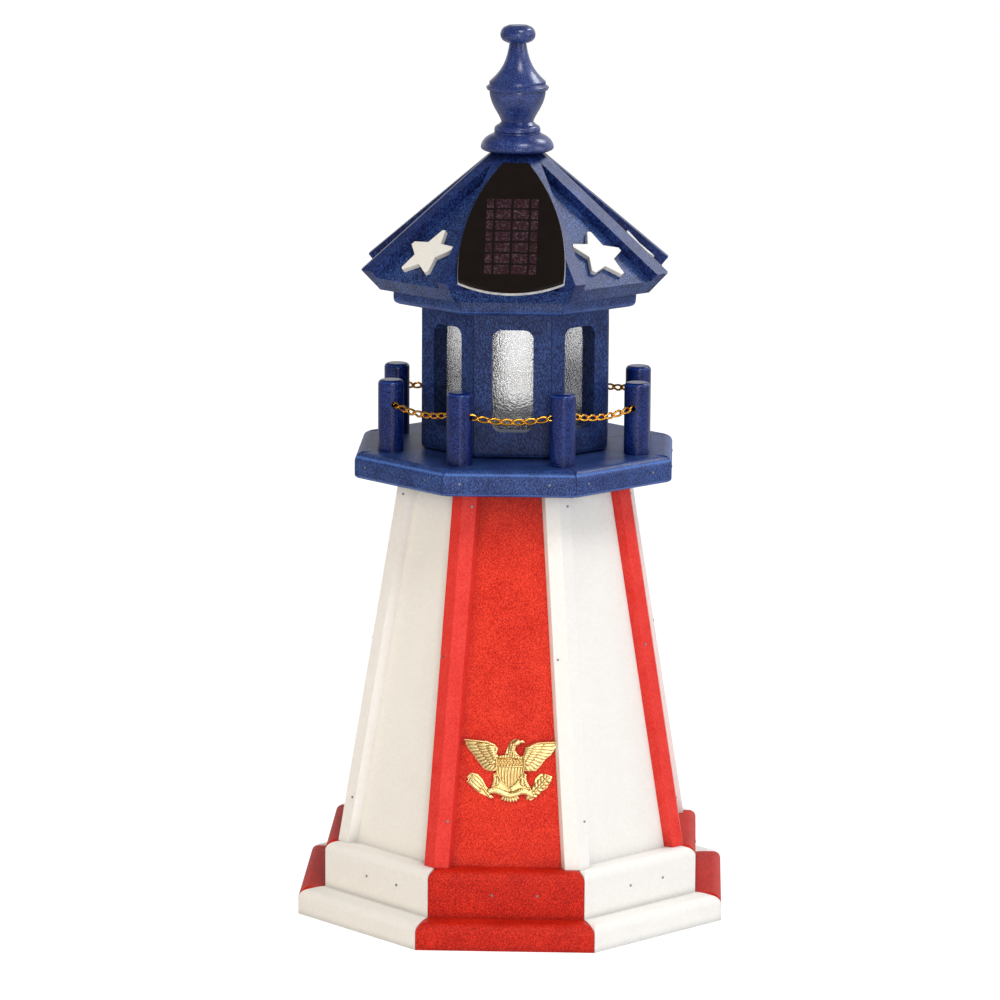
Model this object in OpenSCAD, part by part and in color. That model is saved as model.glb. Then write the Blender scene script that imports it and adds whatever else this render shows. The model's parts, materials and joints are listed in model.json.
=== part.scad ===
// Garden lighthouse ornament: an eight-sided wooden tower on two stepped tiers, with a gallery,
// a windowed lantern room and a lift-off roof that carries a small solar light.
// Millimetres, +Z up. The origin is the middle of the underside and the front face looks along -Y.
// Faces are counted anticlockwise seen from above, with face 1 at the front.

/* [Base tiers] */
// Lower tier, across its flat sides
lower_af = 292; // [276:1:310]
// Lower tier, height of its boards
lower_h = 18; // [14:1:26]
// Lower tier, width of its boards seen from above
lower_board_w = 50; // [42:1:60]
// Upper tier, across its flat sides
upper_af = 256; // [246:1:268]
// Upper tier, height of its boards
upper_h = 32; // [24:1:44]
// Upper tier, width of its boards seen from above
upper_board_w = 36; // [30:1:44]
// Round-over along the top edges of both tiers
tier_round = 6.5; // [3:0.5:9]
// Glue line left open at the mitres of all boards
seam = 0.3; // [0.2:0.1:0.8]

/* [Tower] */
// Tower, across the outsides of its panels at the foot
tower_foot_af = 226; // [214:1:234]
// Tower, across the outsides of its panels at the head
tower_head_af = 144.5; // [132:0.5:160]
// Tower, height from the upper tier to the gallery
tower_h = 254; // [200:1:300]
// Tower panels, thickness
panel_t = 12; // [8:0.5:15]
// Corner battens, width
batten_w = 18; // [12:0.5:24]
// Corner battens, thickness over the panels
batten_t = 6; // [4:0.5:9]

/* [Gallery] */
// Gallery deck, across its flat sides
deck_af = 216.5; // [204:0.5:232]
// Gallery deck, thickness of its boards
deck_t = 18; // [14:1:24]
// Gallery deck, width of its boards seen from above
deck_board_w = 58; // [52:1:62]
// Round-over along the deck's top edge
deck_round = 6; // [3:0.5:8]
// Round-over along the deck's lower edge
deck_foot_round = 3; // [1:0.5:5]
// Posts, diameter
post_d = 17.6; // [12:0.2:20]
// Posts, height over the deck
post_h = 49.3; // [36:0.1:64]
// Posts, distance of their axes from the middle
post_ring_r = 91; // [86:0.5:98]
// Posts, round-over at the top
post_round = 2.8; // [0.6:0.2:3.6]
// Post tenons, diameter
tenon_d = 9; // [6:0.5:11]
// Post tenons, length
tenon_h = 12; // [6:1:13]
// Chain holes in the posts, diameter
chain_hole_d = 5; // [4:0.2:6]
// Chain holes, distance below the top of the posts
chain_drop = 16.5; // [12:0.5:24]
// Chain, width over its links
chain_w = 3.4; // [2.4:0.2:4]
// Chain, sag of each swag
chain_sag = 3; // [1.5:0.1:8]

/* [Lantern room] */
// Lantern room, across its flat sides
lantern_af = 127; // [122:0.5:136]
// Lantern room, height of its walls
lantern_h = 101; // [94:1:120]
// Lantern walls, thickness
wall_t = 12; // [9:0.5:14]
// Round-over along the lower edge of the walls
wall_foot_round = 4; // [1:0.5:6]
// Windows, width
window_w = 28; // [20:0.5:32]
// Windows, height
window_h = 70; // [50:1:72]
// Windows, height of the sill over the deck
window_sill = 18.5; // [12:0.5:20]
// Windows, radius of the corners
window_corner = 6.5; // [2:0.5:10]
// Window panes, thickness
pane_t = 2; // [1.5:0.1:3]
// Window panes, overlap on the wall round the window
pane_lap = 3; // [2:0.5:4]

/* [Roof] */
// Cornice, across its flat sides
cornice_af = 165; // [156:1:176]
// Cornice, height of its outside face
cornice_face_h = 18.4; // [14:0.2:22]
// Cornice, thickness of its boards
cornice_t = 22; // [18:0.5:24]
// Cornice, hole in its middle under the solar light, across its flat sides
cornice_hole_af = 58; // [57:1:64]
// Round-over along the cornice's lower edge
cornice_round = 4.5; // [2:0.5:6]
// Roof boards, across the lower edges of the eaves
eave_af = 182.8; // [178:0.2:204]
// Slope of the roof from the horizontal
roof_slope = 41.5; // [38:0.5:46]
// Roof boards, thickness
roof_board_t = 12.5; // [9:0.5:16]
// Hip strips, width
hip_w = 18; // [12:0.5:22]
// Hip strips, thickness over the boards
hip_t = 6.3; // [4:0.1:9]
// Flat top of the roof, radius over the corners of the hip strips
seat_r = 18; // [16:0.2:24]
// Stars, radius over the points
star_r = 20.5; // [12:0.5:21]
// Stars, thickness
star_t = 3; // [1.5:0.5:5]
// Stars, distance of the middle up the slope from the eave
star_up = 26; // [24:0.5:34]
// Stars, how far each was set out of true by hand, from the face to the right of the front round to its left
star_turns = [-12, 4, -6, 3, 5, -4, 1];

/* [Finial] */
// Finial, height
finial_h = 86; // [70:0.5:110]
// Finial, diameter of its domed base
finial_d = 50; // [46:0.5:60]
// Finial dowel, diameter
dowel_d = 8; // [5:0.5:9]
// Finial dowel, length inside the finial
dowel_in_finial = 26; // [12:1:34]

/* [Solar light] */
// Solar panel, half width near its lower edge
solar_half_w = 36; // [32:0.5:38]
// Solar panel, length up the slope
solar_len = 113.5; // [90:0.5:114]
// Solar panel, thickness of its pale back plate
solar_back_t = 2; // [1.5:0.1:3]
// Solar panel, thickness of its black front
solar_front_t = 3; // [2:0.1:5]
// Light case, length
case_l = 66; // [64:1:72]
// Light case, width
case_w = 40; // [36:1:44]
// Light case, height
case_h = 24; // [22:1:28]
// Light case, wall
case_wall = 1.8; // [1.4:0.1:2.4]
// Rechargeable cell, diameter
cell_d = 14; // [10:0.5:15]
// Rechargeable cell, length
cell_l = 28; // [24:1:30]
// Lamp, diameter
lamp_d = 8; // [5:0.5:10]
// Switch, travel of its slider
switch_travel = 3; // [2:0.5:4]

/* [Fits] */
// Clearance of the roof's locating ring inside the lantern room, on each side
ring_gap = 1; // [0.5:0.1:2]
// Radial clearance of dowels and tenons in their holes
dowel_gap = 0.1; // [0.05:0.05:0.3]
// Clearance round the battery door and the switch slider
door_gap = 0.3; // [0.2:0.05:0.6]

/* [Hidden] */
$fn = 64;

// An octagon: eight faces, each one sector wide
faces = 8;
sector = 360 / faces;
half = sector / 2;
// Faces and the corners to their left that are painted red, and those that are white
red_faces = [0, 2, 4, 6];
white_faces = [1, 3, 5, 7];
// Larger than any piece, for cutting planes
reach = 400;
// How much fuller a round joint is than the tubes that meet in it
joint_extra = 0.3;
// The round-over at a board's ends starts this much wide, in all, of the board's outside edge
end_play = 0.1;

red = "#c8160e";
white_paint = "#ece9e0";
blue = "#12235f";
gold = "#c9962b";
black = "#141210";

// Distances of the faces from the middle
lower_a = lower_af / 2;
upper_a = upper_af / 2;
tower_foot_a = tower_foot_af / 2;
tower_head_a = tower_head_af / 2;
deck_a = deck_af / 2;
lantern_a = lantern_af / 2;
cornice_a = cornice_af / 2;
eave_a = eave_af / 2;

// Levels
upper_z = lower_h;
tower_z = upper_z + upper_h;
deck_z = tower_z + tower_h;
floor_z = deck_z + deck_t;
cornice_z = floor_z + lantern_h;
eave_z = cornice_z + cornice_face_h - (eave_a - cornice_a) * tan(roof_slope);
under_apex_z = eave_z + eave_a * tan(roof_slope);
board_apex_z = under_apex_z + roof_board_t / cos(roof_slope);
strip_apex_z = board_apex_z + hip_t / cos(roof_slope);
seat_z = strip_apex_z - seat_r * cos(half) * tan(roof_slope);

// Tower: angle of the panels from the horizontal, and their thickness measured level
tower_pitch = atan2(tower_h, tower_foot_a - tower_head_a);
panel_level_t = panel_t / sin(tower_pitch);
panel_len = tower_h / sin(tower_pitch);

// Eave edge of the roof boards' upper faces, where the roof faces are measured from
eave_top_a = eave_a + roof_board_t * sin(roof_slope);
eave_top_z = eave_z + roof_board_t * cos(roof_slope);

// Chain holes
hole_z = floor_z + post_h - chain_drop;

// Locating ring under the cornice, inside the lantern walls and above the windows
ring_t = 10;
ring_a = lantern_a - wall_t - ring_gap;
cornice_hole_a = cornice_hole_af / 2;
ring_z = cornice_z - ring_t;

// Hub under the peak of the roof
hub_h = 26;
hub_z = under_apex_z - hub_h;

// Light case in the hollow of the roof, on the cornice and over its hole, with an ear at each end
case_z = cornice_z + cornice_t;
case_top_t = 2.4;
ear_l = 9;
ear_t = 2.4;
ear_span = case_l + 2 * ear_l;
ear_w = 16;
case_screw_x = case_l / 2 + ear_l / 2;
case_screw_d = 2.6;
case_screw_l = 8;
case_floor_z = case_z + case_wall;
case_top_z = case_z + case_h - case_top_t;
board_t = 1.6;
board_z = case_top_z - board_t;
// The cell, its door, the lamp and the switch are all within reach through the cornice's hole
cell_x = -10.5;
cell_z = case_floor_z + cell_d / 2;
door_l = cell_d + 4;
door_w = cell_l + 4;
door_lip = 1.5;
lamp_x = 8;
lamp_h = 6;
switch_x = 21;
// The wire comes down through the case's top this far in front of the middle
wire_hole_y = 10;
slider_l = 6;
slider_w = 4;
slider_h = 5.4;
slider_plate_l = 10;
slider_plate_w = 7;
slider_plate_t = 1.2;

function half_width(apothem) = apothem * tan(half);
function arc_points(c, r, from, to, steps) =
    [for (k = [0:steps]) c + r * [cos(from + (to - from) * k / steps), sin(from + (to - from) * k / steps)]];
function curve(a, b, c, d, t) =
    pow(1 - t, 3) * a + 3 * pow(1 - t, 2) * t * b + 3 * (1 - t) * t * t * c + t * t * t * d;
function curve_points(a, b, c, d, steps) = [for (k = [0:steps]) curve(a, b, c, d, k / steps)];

// Puts a child drawn at the front on each of the listed faces
module at_faces(list) {
    for (i = list)
        rotate(i * sector) children();
}

// Puts a child drawn at the front on the left corner of each listed face
module at_corners(list) {
    for (i = list)
        rotate(i * sector - half) children();
}

// Carries a side view, x outwards and y up, along the front face
module along_front() {
    rotate([90, 0, -90])
        linear_extrude(2 * reach, center = true)
            children();
}

// The front eighth, narrowed by half a glue line on each side
module front_sector(line = seam) {
    shift = line / 2 / sin(half);
    translate([0, 0, -reach])
        linear_extrude(3 * reach)
            translate([0, -shift])
                polygon([[0, 0], [-half_width(reach), -reach], [half_width(reach), -reach]]);
}

// What a round-over takes off the corner of a board whose wood lies below and to the left of it
module round_waste(r) {
    translate([-r, -r])
        difference() {
            square(2 * r);
            rotate(-135) circle(r);
        }
}

// A side view from an inner to an outer distance, with its outer corners rounded
module side_view(inner, outer, low, high, top_round, foot_round) {
    difference() {
        translate([inner, low])
            square([outer - inner, high - low]);
        if (top_round > 0)
            translate([outer, high]) round_waste(top_round);
        if (foot_round > 0)
            translate([outer, low]) mirror([0, 1]) round_waste(foot_round);
    }
}

// The same seen from the front, with both ends rounded
module front_view(width, low, high, top_round, foot_round) {
    for (side = [0, 1])
        mirror([side, 0])
            side_view(-1, width / 2, low, high, top_round, foot_round);
}

// One mitred board of an eight-sided frame, rounded over along its outside and at its ends
module frame_board(inner, outer, low, high, top_round, foot_round) {
    width = 2 * half_width(outer) - seam / cos(half) + end_play;
    intersection() {
        along_front() side_view(inner, outer, low, high, top_round, foot_round);
        front_sector();
        rotate([90, 0, 0])
            linear_extrude(reach)
                front_view(width, low, high, top_round, foot_round);
    }
}

// A strip laid over a corner between two sloping faces: r and z of the corner line's two ends
module corner_strip(low_r, low_z, high_r, high_z, width, thick, overrun) {
    line_pitch = atan2(high_z - low_z, low_r - high_r);
    face_pitch = atan2(high_z - low_z, (low_r - high_r) * cos(half));
    fold = acos(pow(sin(face_pitch), 2) * cos(sector) + pow(cos(face_pitch), 2)) / 2;
    length = norm([high_z - low_z, low_r - high_r]);
    drop = width / 2 * tan(fold);
    rise = thick / cos(fold);
    translate([0, -low_r, low_z])
        rotate([line_pitch - 90, 0, 0])
            translate([0, 0, -overrun])
                linear_extrude(length + 2 * overrun)
                    polygon([[0, 0], [width / 2, drop], [width / 2, drop - rise],
                             [0, -rise], [-width / 2, drop - rise], [-width / 2, drop]]);
}

// Keeps what lies between two levels
module between_levels(low, high) {
    intersection() {
        children();
        translate([-reach, -reach, low])
            cube([2 * reach, 2 * reach, high - low]);
    }
}

// --- Base tiers ---

module lower_base_board(i) {
    color(i % 2 == 0 ? red : white_paint)
        at_faces([i])
            frame_board(lower_a - lower_board_w, lower_a, 0, lower_h, tier_round, 0);
}

module upper_base_board(i) {
    color(i % 2 == 0 ? red : white_paint)
        at_faces([i])
            frame_board(upper_a - upper_board_w, upper_a, upper_z, tower_z, tier_round, 0);
}

// --- Tower ---

module tower_panel(i) {
    color(i % 2 == 0 ? red : white_paint)
        at_faces([i])
            intersection() {
                along_front()
                    polygon([[tower_foot_a, tower_z], [tower_head_a, deck_z],
                             [tower_head_a - panel_level_t, deck_z],
                             [tower_foot_a - panel_level_t, tower_z]]);
                front_sector();
            }
}

module tower_battens(list, paint) {
    color(paint)
        between_levels(tower_z, deck_z)
            at_corners(list)
                corner_strip(tower_foot_a / cos(half), tower_z, tower_head_a / cos(half), deck_z,
                             batten_w, batten_t, batten_w);
}

// Lays a child on the front panel: x across, y up the panel from its foot, z outwards
module on_panel() {
    translate([0, -tower_foot_a, tower_z])
        rotate([tower_pitch, 0, 0])
            children();
}

// --- Gallery ---

module post_holes(d, low, high) {
    at_corners([0:faces - 1])
        translate([0, -post_ring_r, low])
            cylinder(d = d, h = high - low);
}

module deck_boards() {
    color(blue)
        difference() {
            at_faces([0:faces - 1])
                frame_board(deck_a - deck_board_w, deck_a, deck_z, floor_z, deck_round, deck_foot_round);
            post_holes(tenon_d + 2 * dowel_gap, floor_z - tenon_h - dowel_gap, floor_z + 1);
        }
}

module post() {
    difference() {
        rotate_extrude()
            difference() {
                polygon([[0, -tenon_h], [tenon_d / 2, -tenon_h], [tenon_d / 2, 0], [post_d / 2, 0],
                         [post_d / 2, post_h], [0, post_h]]);
                translate([post_d / 2, post_h]) round_waste(post_round);
            }
        translate([0, 0, post_h - chain_drop])
            rotate([0, 90, 0])
                cylinder(d = chain_hole_d, h = 2 * post_d, center = true);
    }
}

module posts() {
    color(blue)
        at_corners([0:faces - 1])
            translate([0, -post_ring_r, floor_z])
                post();
}

// Half the straight distance between the two posts of a bay, from hole mouth to hole mouth
bay_half = post_ring_r * sin(half) - post_d / 2 * cos(half);
bay_y = -post_ring_r * cos(half) - post_d / 2 * sin(half);
swag_r = (bay_half * bay_half + chain_sag * chain_sag) / (2 * chain_sag);
swag_angle = asin(bay_half / swag_r);

// One swag of the chain between two posts, as a sagging tube of the chain's own width
module swag() {
    translate([0, bay_y, hole_z + swag_r * cos(swag_angle)])
        rotate([90, 0, 0])
            rotate(-90 - swag_angle)
                rotate_extrude(angle = 2 * swag_angle, $fn = 180)
                    translate([swag_r, 0])
                        circle(d = chain_w, $fn = 24);
}

module chain() {
    joint_d = chain_w + joint_extra;
    color(gold) {
        at_faces([0:faces - 1]) swag();
        at_corners([0:faces - 1])
            translate([0, -post_ring_r, hole_z]) {
                rotate([0, 90, 0])
                    cylinder(d = chain_w, h = post_d, center = true, $fn = 24);
                for (side = [-1, 1])
                    translate([side * post_d / 2, 0, 0])
                        sphere(d = joint_d, $fn = 24);
            }
    }
}

// --- Lantern room ---

module rounded_rectangle(width, height, corner) {
    difference() {
        square([width, height], center = true);
        for (sx = [0, 1], sy = [0, 1])
            mirror([sx, 0]) mirror([0, sy])
                translate([width / 2, height / 2]) round_waste(corner);
    }
}

module lantern_wall(i) {
    window_z = floor_z + window_sill + window_h / 2;
    color(blue)
        at_faces([i])
            difference() {
                frame_board(lantern_a - wall_t, lantern_a, floor_z, cornice_z, 0, wall_foot_round);
                translate([0, 0, window_z])
                    rotate([90, 0, 0])
                        linear_extrude(reach)
                            rounded_rectangle(window_w, window_h, window_corner);
            }
}

module window_panes() {
    pane_w = window_w + 2 * pane_lap;
    pane_h = window_h + 2 * pane_lap;
    color("#dfe6ea", 0.5)
        at_faces([0:faces - 1])
            translate([-pane_w / 2, wall_t - lantern_a, floor_z + window_sill - pane_lap])
                cube([pane_w, pane_t, min(pane_h, ring_z - floor_z - window_sill + pane_lap - ring_gap)]);
}

// --- Emblem ---

eagle_t = 2.2;
eagle_up = 65;
shield_w = 19.6;
shield_top = 7.5;
shield_h = 21;
shield_stripes = 6;

// One raised wing to the right: an arched top edge and a lower edge of feather tips
module wing() {
    feather_r = 2.1;
    top_edge = curve_points([6, 3], [8, 17], [15, 20.5], [31, 20.6], 12);
    tips = curve_points([28.8, 14.6], [25, 8], [19, 3.5], [12, -1], 8);
    polygon(concat(top_edge, tips));
    for (tip = tips)
        translate(tip) circle(feather_r, $fn = 24);
}

module head_and_neck() {
    polygon(concat(
        curve_points([-7, 5], [-3, 9], [-4, 21], [4.5, 21.6], 10),
        curve_points([6, 21.4], [8, 21], [9.4, 19.8], [9.8, 18.9], 4),
        curve_points([7, 17.2], [3, 16.5], [3, 10], [9, 5], 8)));
}

// A raised shield: a rim round a sunk field, with a band across the top and upright stripes
module shield() {
    rim = 1;
    chief = 0.36 * shield_h;
    stripe = (shield_w - 2 * rim) / (2 * shield_stripes);
    difference() {
        linear_extrude(eagle_t + 1.8) shield_outline(0);
        translate([0, 0, eagle_t + 1]) linear_extrude(2) shield_outline(rim);
    }
    intersection() {
        linear_extrude(eagle_t + 1.5) shield_outline(rim / 2);
        translate([0, 0, eagle_t]) {
            for (k = [0:shield_stripes - 1])
                translate([rim - shield_w / 2 + (2 * k + 0.5) * stripe, shield_top - shield_h, 0])
                    cube([stripe, shield_h - chief, eagle_t]);
            translate([-shield_w / 2, shield_top - chief, 0])
                cube([shield_w, chief - rim, eagle_t]);
        }
    }
}

// Two bowed sides that meet in a point, under a straight top
module shield_outline(inset) {
    bow = 19;
    intersection() {
        translate([shield_w / 2 - bow, shield_top - shield_h / 4]) circle(bow - inset);
        translate([bow - shield_w / 2, shield_top - shield_h / 4]) circle(bow - inset);
        translate([-shield_w / 2, shield_top - 2 * shield_h - inset])
            square([shield_w, 2 * shield_h]);
    }
}

// A leafy branch held at each side, with its leaves in pairs along a stem
module branch() {
    pairs = 4;
    leaf_r = 5;
    leaf_half = 2;
    stem = curve_points([7, -15], [13, -20], [20, -16], [27, -5.5], pairs);
    polygon(concat(curve_points([3, -10], [8, -21], [20, -18.5], [27.5, -6], 8),
                   curve_points([26.5, -5], [17, -15.5], [10, -14], [4, -5], 8)));
    for (k = [1:pairs], side = [-1, 1])
        translate(stem[k])
            rotate(38 + 6 * k + side * 38)
                translate([2.6, 0])
                    intersection() {
                        translate([0, leaf_r - leaf_half]) circle(leaf_r, $fn = 32);
                        translate([0, leaf_half - leaf_r]) circle(leaf_r, $fn = 32);
                    }
}

module tail() {
    feather_r = 2.7;
    polygon([[-8, -8], [8, -8], [9.5, -18], [-9.5, -18]]);
    for (k = [-2:2])
        translate([3.8 * k, -18.8 + 0.18 * k * k]) circle(feather_r, $fn = 32);
}

module eagle_emblem() {
    color(gold)
        on_panel()
            translate([0, eagle_up, 0]) {
                linear_extrude(eagle_t) {
                    for (side = [0, 1])
                        mirror([side, 0]) {
                            wing();
                            branch();
                        }
                    tail();
                }
                linear_extrude(eagle_t + 1) head_and_neck();
                shield();
            }
}

// --- Brads: a shank driven into the wood and a small flat head left on the surface ---

brad_d = 1.2;
brad_head_d = 1.6;
brad_head_t = 0.4;
brad_l = 14;
// Where they sit, in shares of a batten's length and of a board's half width
batten_brads = [0.12, 0.55, 0.95];
tier_brads = [-0.18, 0.4];
deck_brads = [-0.75, 0.6];

module brad() {
    translate([0, 0, -brad_l]) cylinder(d = brad_d, h = brad_l, $fn = 16);
    cylinder(d = brad_head_d, h = brad_head_t, $fn = 16);
}

// A brad in the middle of one wing of a batten, a given way up the front left corner
module batten_brad(up, side) {
    across = tower_foot_a - up * cos(tower_pitch);
    wing_x = side * batten_w / 4;
    rotate(side * half)
        translate([0, -across, tower_z + up * sin(tower_pitch)])
            rotate([tower_pitch, 0, 0])
                translate([-side * half_width(across) + wing_x, 0, batten_t])
                    brad();
}

module brads() {
    color("silver") {
        at_corners([0:faces - 1]) {
            batten_brad(batten_brads[0] * panel_len, 1);
            batten_brad(batten_brads[1] * panel_len, -1);
            batten_brad(batten_brads[2] * panel_len, 1);
        }
        at_faces([0:faces - 1])
            for (k = [0, 1]) {
                translate([tier_brads[k] * half_width(upper_a), -upper_a, upper_z + upper_h / 2])
                    rotate([90, 0, 0]) brad();
                translate([deck_brads[k] * half_width(deck_a), -deck_a, deck_z + deck_t / 2])
                    rotate([90, 0, 0]) brad();
            }
    }
}

// --- Roof ---

// Lays a child on a roof face: x across, y up the slope from the eave, z outwards
module on_roof(lift) {
    translate([0, -eave_top_a, eave_top_z])
        rotate([roof_slope, 0, 0])
            translate([0, 0, lift])
                children();
}

module cornice_boards() {
    color(blue)
        difference() {
            at_faces([0:faces - 1])
                cornice_board(cornice_a + 1);
            case_screw_holes();
        }
}

// One cornice board, cut to the slope of the roof boards that lie on it
module cornice_board(past) {
    intersection() {
        frame_board(cornice_hole_a, cornice_a, cornice_z, case_z, 0, cornice_round);
        along_front()
            polygon([[0, cornice_z - 1], [past, cornice_z - 1],
                     [past, eave_z + (eave_a - past) * tan(roof_slope)], [0, under_apex_z]]);
    }
}

module octagon(apothem) {
    circle(apothem / cos(half), $fn = faces);
}

module locating_ring() {
    color(blue)
        translate([0, 0, ring_z])
            difference() {
                linear_extrude(ring_t)
                    rotate(half)
                        difference() {
                            octagon(ring_a);
                            octagon(cornice_hole_a);
                        }
            }
}

module roof_boards() {
    color(blue)
        difference() {
            at_faces([0:faces - 1])
                intersection() {
                    along_front()
                        intersection() {
                            polygon([[eave_a, eave_z], [eave_top_a, eave_top_z],
                                     [0, board_apex_z], [0, under_apex_z]]);
                            square([reach, seat_z]);
                        }
                    front_sector();
                }
            translate([0, 0, hub_z])
                cylinder(d = dowel_d + 2 * dowel_gap, h = reach);
            wire_bore();
        }
}

// Everything on the inner side of an eave that is turned from the front by an angle
module inside_eave(turn) {
    rotate(turn)
        translate([0, -eave_a, eave_z])
            rotate([roof_slope, 0, 0])
                translate([-reach, 0, -reach])
                    cube([2 * reach, 2 * reach, 2 * reach]);
}

// The strips end flush with the eaves, and meet their neighbours near the peak
module hip_strips() {
    color(blue)
        between_levels(0, seat_z)
            at_corners([0:faces - 1])
                intersection() {
                    corner_strip(eave_top_a / cos(half), eave_top_z, 0, board_apex_z, hip_w, hip_t, hip_w);
                    inside_eave(-half);
                    inside_eave(half);
                    front_sector();
                }
}

module roof_hub() {
    low_a = (under_apex_z - hub_z) / tan(roof_slope);
    color("burlywood")
        difference() {
            intersection_for(i = [0:faces / 2 - 1])
                rotate(i * sector)
                    along_front()
                        polygon([[-low_a, hub_z], [low_a, hub_z], [0, under_apex_z]]);
            translate([0, 0, hub_z - 1])
                cylinder(d = dowel_d + 2 * dowel_gap, h = hub_h + 2);
        }
}

// A five-pointed star with blunt points
module star() {
    points = 5;
    notch = 0.52;
    blunt = 4;
    linear_extrude(star_t)
        polygon([for (k = [0:points - 1], part = [-blunt, blunt, 180 / points])
            star_r * (part == 180 / points ? notch : 1)
                * [cos(90 + 360 * k / points + part), sin(90 + 360 * k / points + part)]]);
}

module stars() {
    color(white_paint)
        for (i = [1:faces - 1])
            at_faces([i])
                on_roof(0)
                    translate([0, star_up, 0])
                        rotate(star_turns[i - 1]) star();
}

// --- Finial ---

// Half outline of the turned finial, from its underside to the top, in shares of its size
module finial_outline() {
    r = finial_d / 2;
    h = finial_h;
    base = concat([[0, 0], [0.84 * r, 0]],
        curve_points([0.9 * r, 0.004 * h], [0.97 * r, 0.01 * h], [r, 0.02 * h], [r, 0.036 * h], 5),
        curve_points([0.995 * r, 0.045 * h], [0.97 * r, 0.085 * h], [0.86 * r, 0.117 * h], [0.68 * r, 0.138 * h], 9));
    bead = concat([[0.64 * r, 0.141 * h], [0.64 * r, 0.151 * h], [0.615 * r, 0.156 * h], [0.63 * r, 0.162 * h]],
        curve_points([0.63 * r, 0.175 * h], [0.625 * r, 0.195 * h], [0.6 * r, 0.203 * h], [0.52 * r, 0.212 * h], 5));
    urn = curve_points([0.44 * r, 0.235 * h], [0.50 * r, 0.30 * h], [0.74 * r, 0.36 * h],
                       [0.77 * r, 0.475 * h], 12);
    flange = concat([[0.77 * r, 0.484 * h], [0.83 * r, 0.488 * h]],
        arc_points([0.83 * r, 0.508 * h], 0.03 * r, -60, 60, 4),
        [[0.77 * r, 0.532 * h]]);
    flare = curve_points([0.77 * r, 0.555 * h], [0.46 * r, 0.635 * h], [0.31 * r, 0.70 * h],
                         [0.23 * r, 0.858 * h], 14);
    knob = concat([[0.30 * r, 0.862 * h]],
        curve_points([0.34 * r, 0.868 * h], [0.53 * r, 0.885 * h], [0.53 * r, 0.975 * h],
                     [0.32 * r, 0.992 * h], 12),
        [[0.26 * r, h], [0, h]]);
    polygon(concat(base, bead, urn, flange, flare, knob));
}

module finial() {
    color(blue)
        translate([0, 0, seat_z])
            difference() {
                rotate_extrude() finial_outline();
                translate([0, 0, -1])
                    cylinder(d = dowel_d + 2 * dowel_gap, h = dowel_in_finial + dowel_gap + 1);
            }
}

module finial_dowel() {
    color("burlywood")
        translate([0, 0, hub_z])
            cylinder(d = dowel_d, h = seat_z - hub_z + dowel_in_finial);
}

// --- Solar panel on the front of the roof ---

solar_low = -9.4;
solar_side_r = 170;
solar_side_up = 12;
solar_foot_r = 74;
wire_up = 52;
wire_d = 2.4;
wire_bore_d = 5;

// Outline of the panel: two long arcs, a bowed lower edge and a straight top
module solar_outline(inset) {
    side_x = solar_half_w - solar_side_r;
    intersection() {
        translate([side_x, solar_side_up]) circle(solar_side_r - inset, $fn = 180);
        translate([-side_x, solar_side_up]) circle(solar_side_r - inset, $fn = 180);
        translate([0, solar_low + solar_foot_r]) circle(solar_foot_r - inset, $fn = 180);
        translate([-reach, -reach]) square([2 * reach, reach + solar_low + solar_len - inset]);
    }
}

cell_rows = 7;
cell_columns = [4.6, 10.2, 10.4, 4.6];
cell_gap = 1.6;
cell_pitch = 9.7;
cell_low = 5;
cell_shift = -0.9;
cell_thin = 0.6;
cell_play = 0.05;
front_inset = 0.4;

function column_left(k) = k == 0
    ? cell_shift - (cell_columns[0] + cell_columns[1] + 1.5 * cell_gap)
    : column_left(k - 1) + cell_columns[k - 1] + cell_gap;

module solar_cell_fields(grow, thick) {
    for (row = [0:cell_rows - 1], k = [0:len(cell_columns) - 1])
        translate([column_left(k) - grow, cell_low + row * cell_pitch - grow, 0])
            cube([cell_columns[k] + 2 * grow, cell_pitch - cell_gap + 2 * grow, thick]);
}

module solar_back() {
    color("#d8d4c8")
        on_roof(hip_t)
            difference() {
                linear_extrude(solar_back_t) solar_outline(0);
                translate([0, wire_up, -1]) cylinder(d = wire_bore_d, h = solar_back_t + 2, $fn = 32);
            }
}

module solar_front() {
    color(black)
        on_roof(hip_t + solar_back_t)
            difference() {
                linear_extrude(solar_front_t) solar_outline(front_inset);
                translate([0, 0, solar_front_t - cell_thin]) solar_cell_fields(cell_play, cell_thin + 1);
            }
}

module solar_cells() {
    color("#2b1b22")
        on_roof(hip_t + solar_back_t + solar_front_t - cell_thin)
            solar_cell_fields(0, cell_thin);
}

// --- Wire from the panel through the front roof board down to the light case ---

module wire_bore() {
    on_roof(-2 * roof_board_t)
        translate([0, wire_up, 0])
            cylinder(d = wire_bore_d, h = 3 * roof_board_t, $fn = 32);
}

wire_bend = 6;

// A point over the middle of the front roof face, a given way up the slope and out from the boards
function over_roof(up, out) = [0,
    up * cos(roof_slope) - out * sin(roof_slope) - eave_top_a,
    up * sin(roof_slope) + out * cos(roof_slope) + eave_top_z];

// From inside the back plate's hole, under the roof boards and over the case, to the circuit board
wire_route = [
    over_roof(wire_up, hip_t + solar_back_t - wire_d),
    over_roof(wire_up, -roof_board_t - wire_bend),
    [0, -3 * wire_hole_y, case_z + case_h + wire_bend / 2],
    [0, -wire_hole_y, case_z + case_h + wire_bend],
    [0, -wire_hole_y, case_top_z + dowel_gap]
];

module solar_wire() {
    color("#7a1414")
        for (k = [0:len(wire_route) - 2]) {
            way = wire_route[k + 1] - wire_route[k];
            translate(wire_route[k]) {
                sphere(d = wire_d + joint_extra, $fn = 24);
                rotate([0, acos(way[2] / norm(way)), atan2(way[1], way[0])])
                    cylinder(d = wire_d, h = norm(way), $fn = 24);
            }
        }
}

// --- Light case in the roof ---

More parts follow.
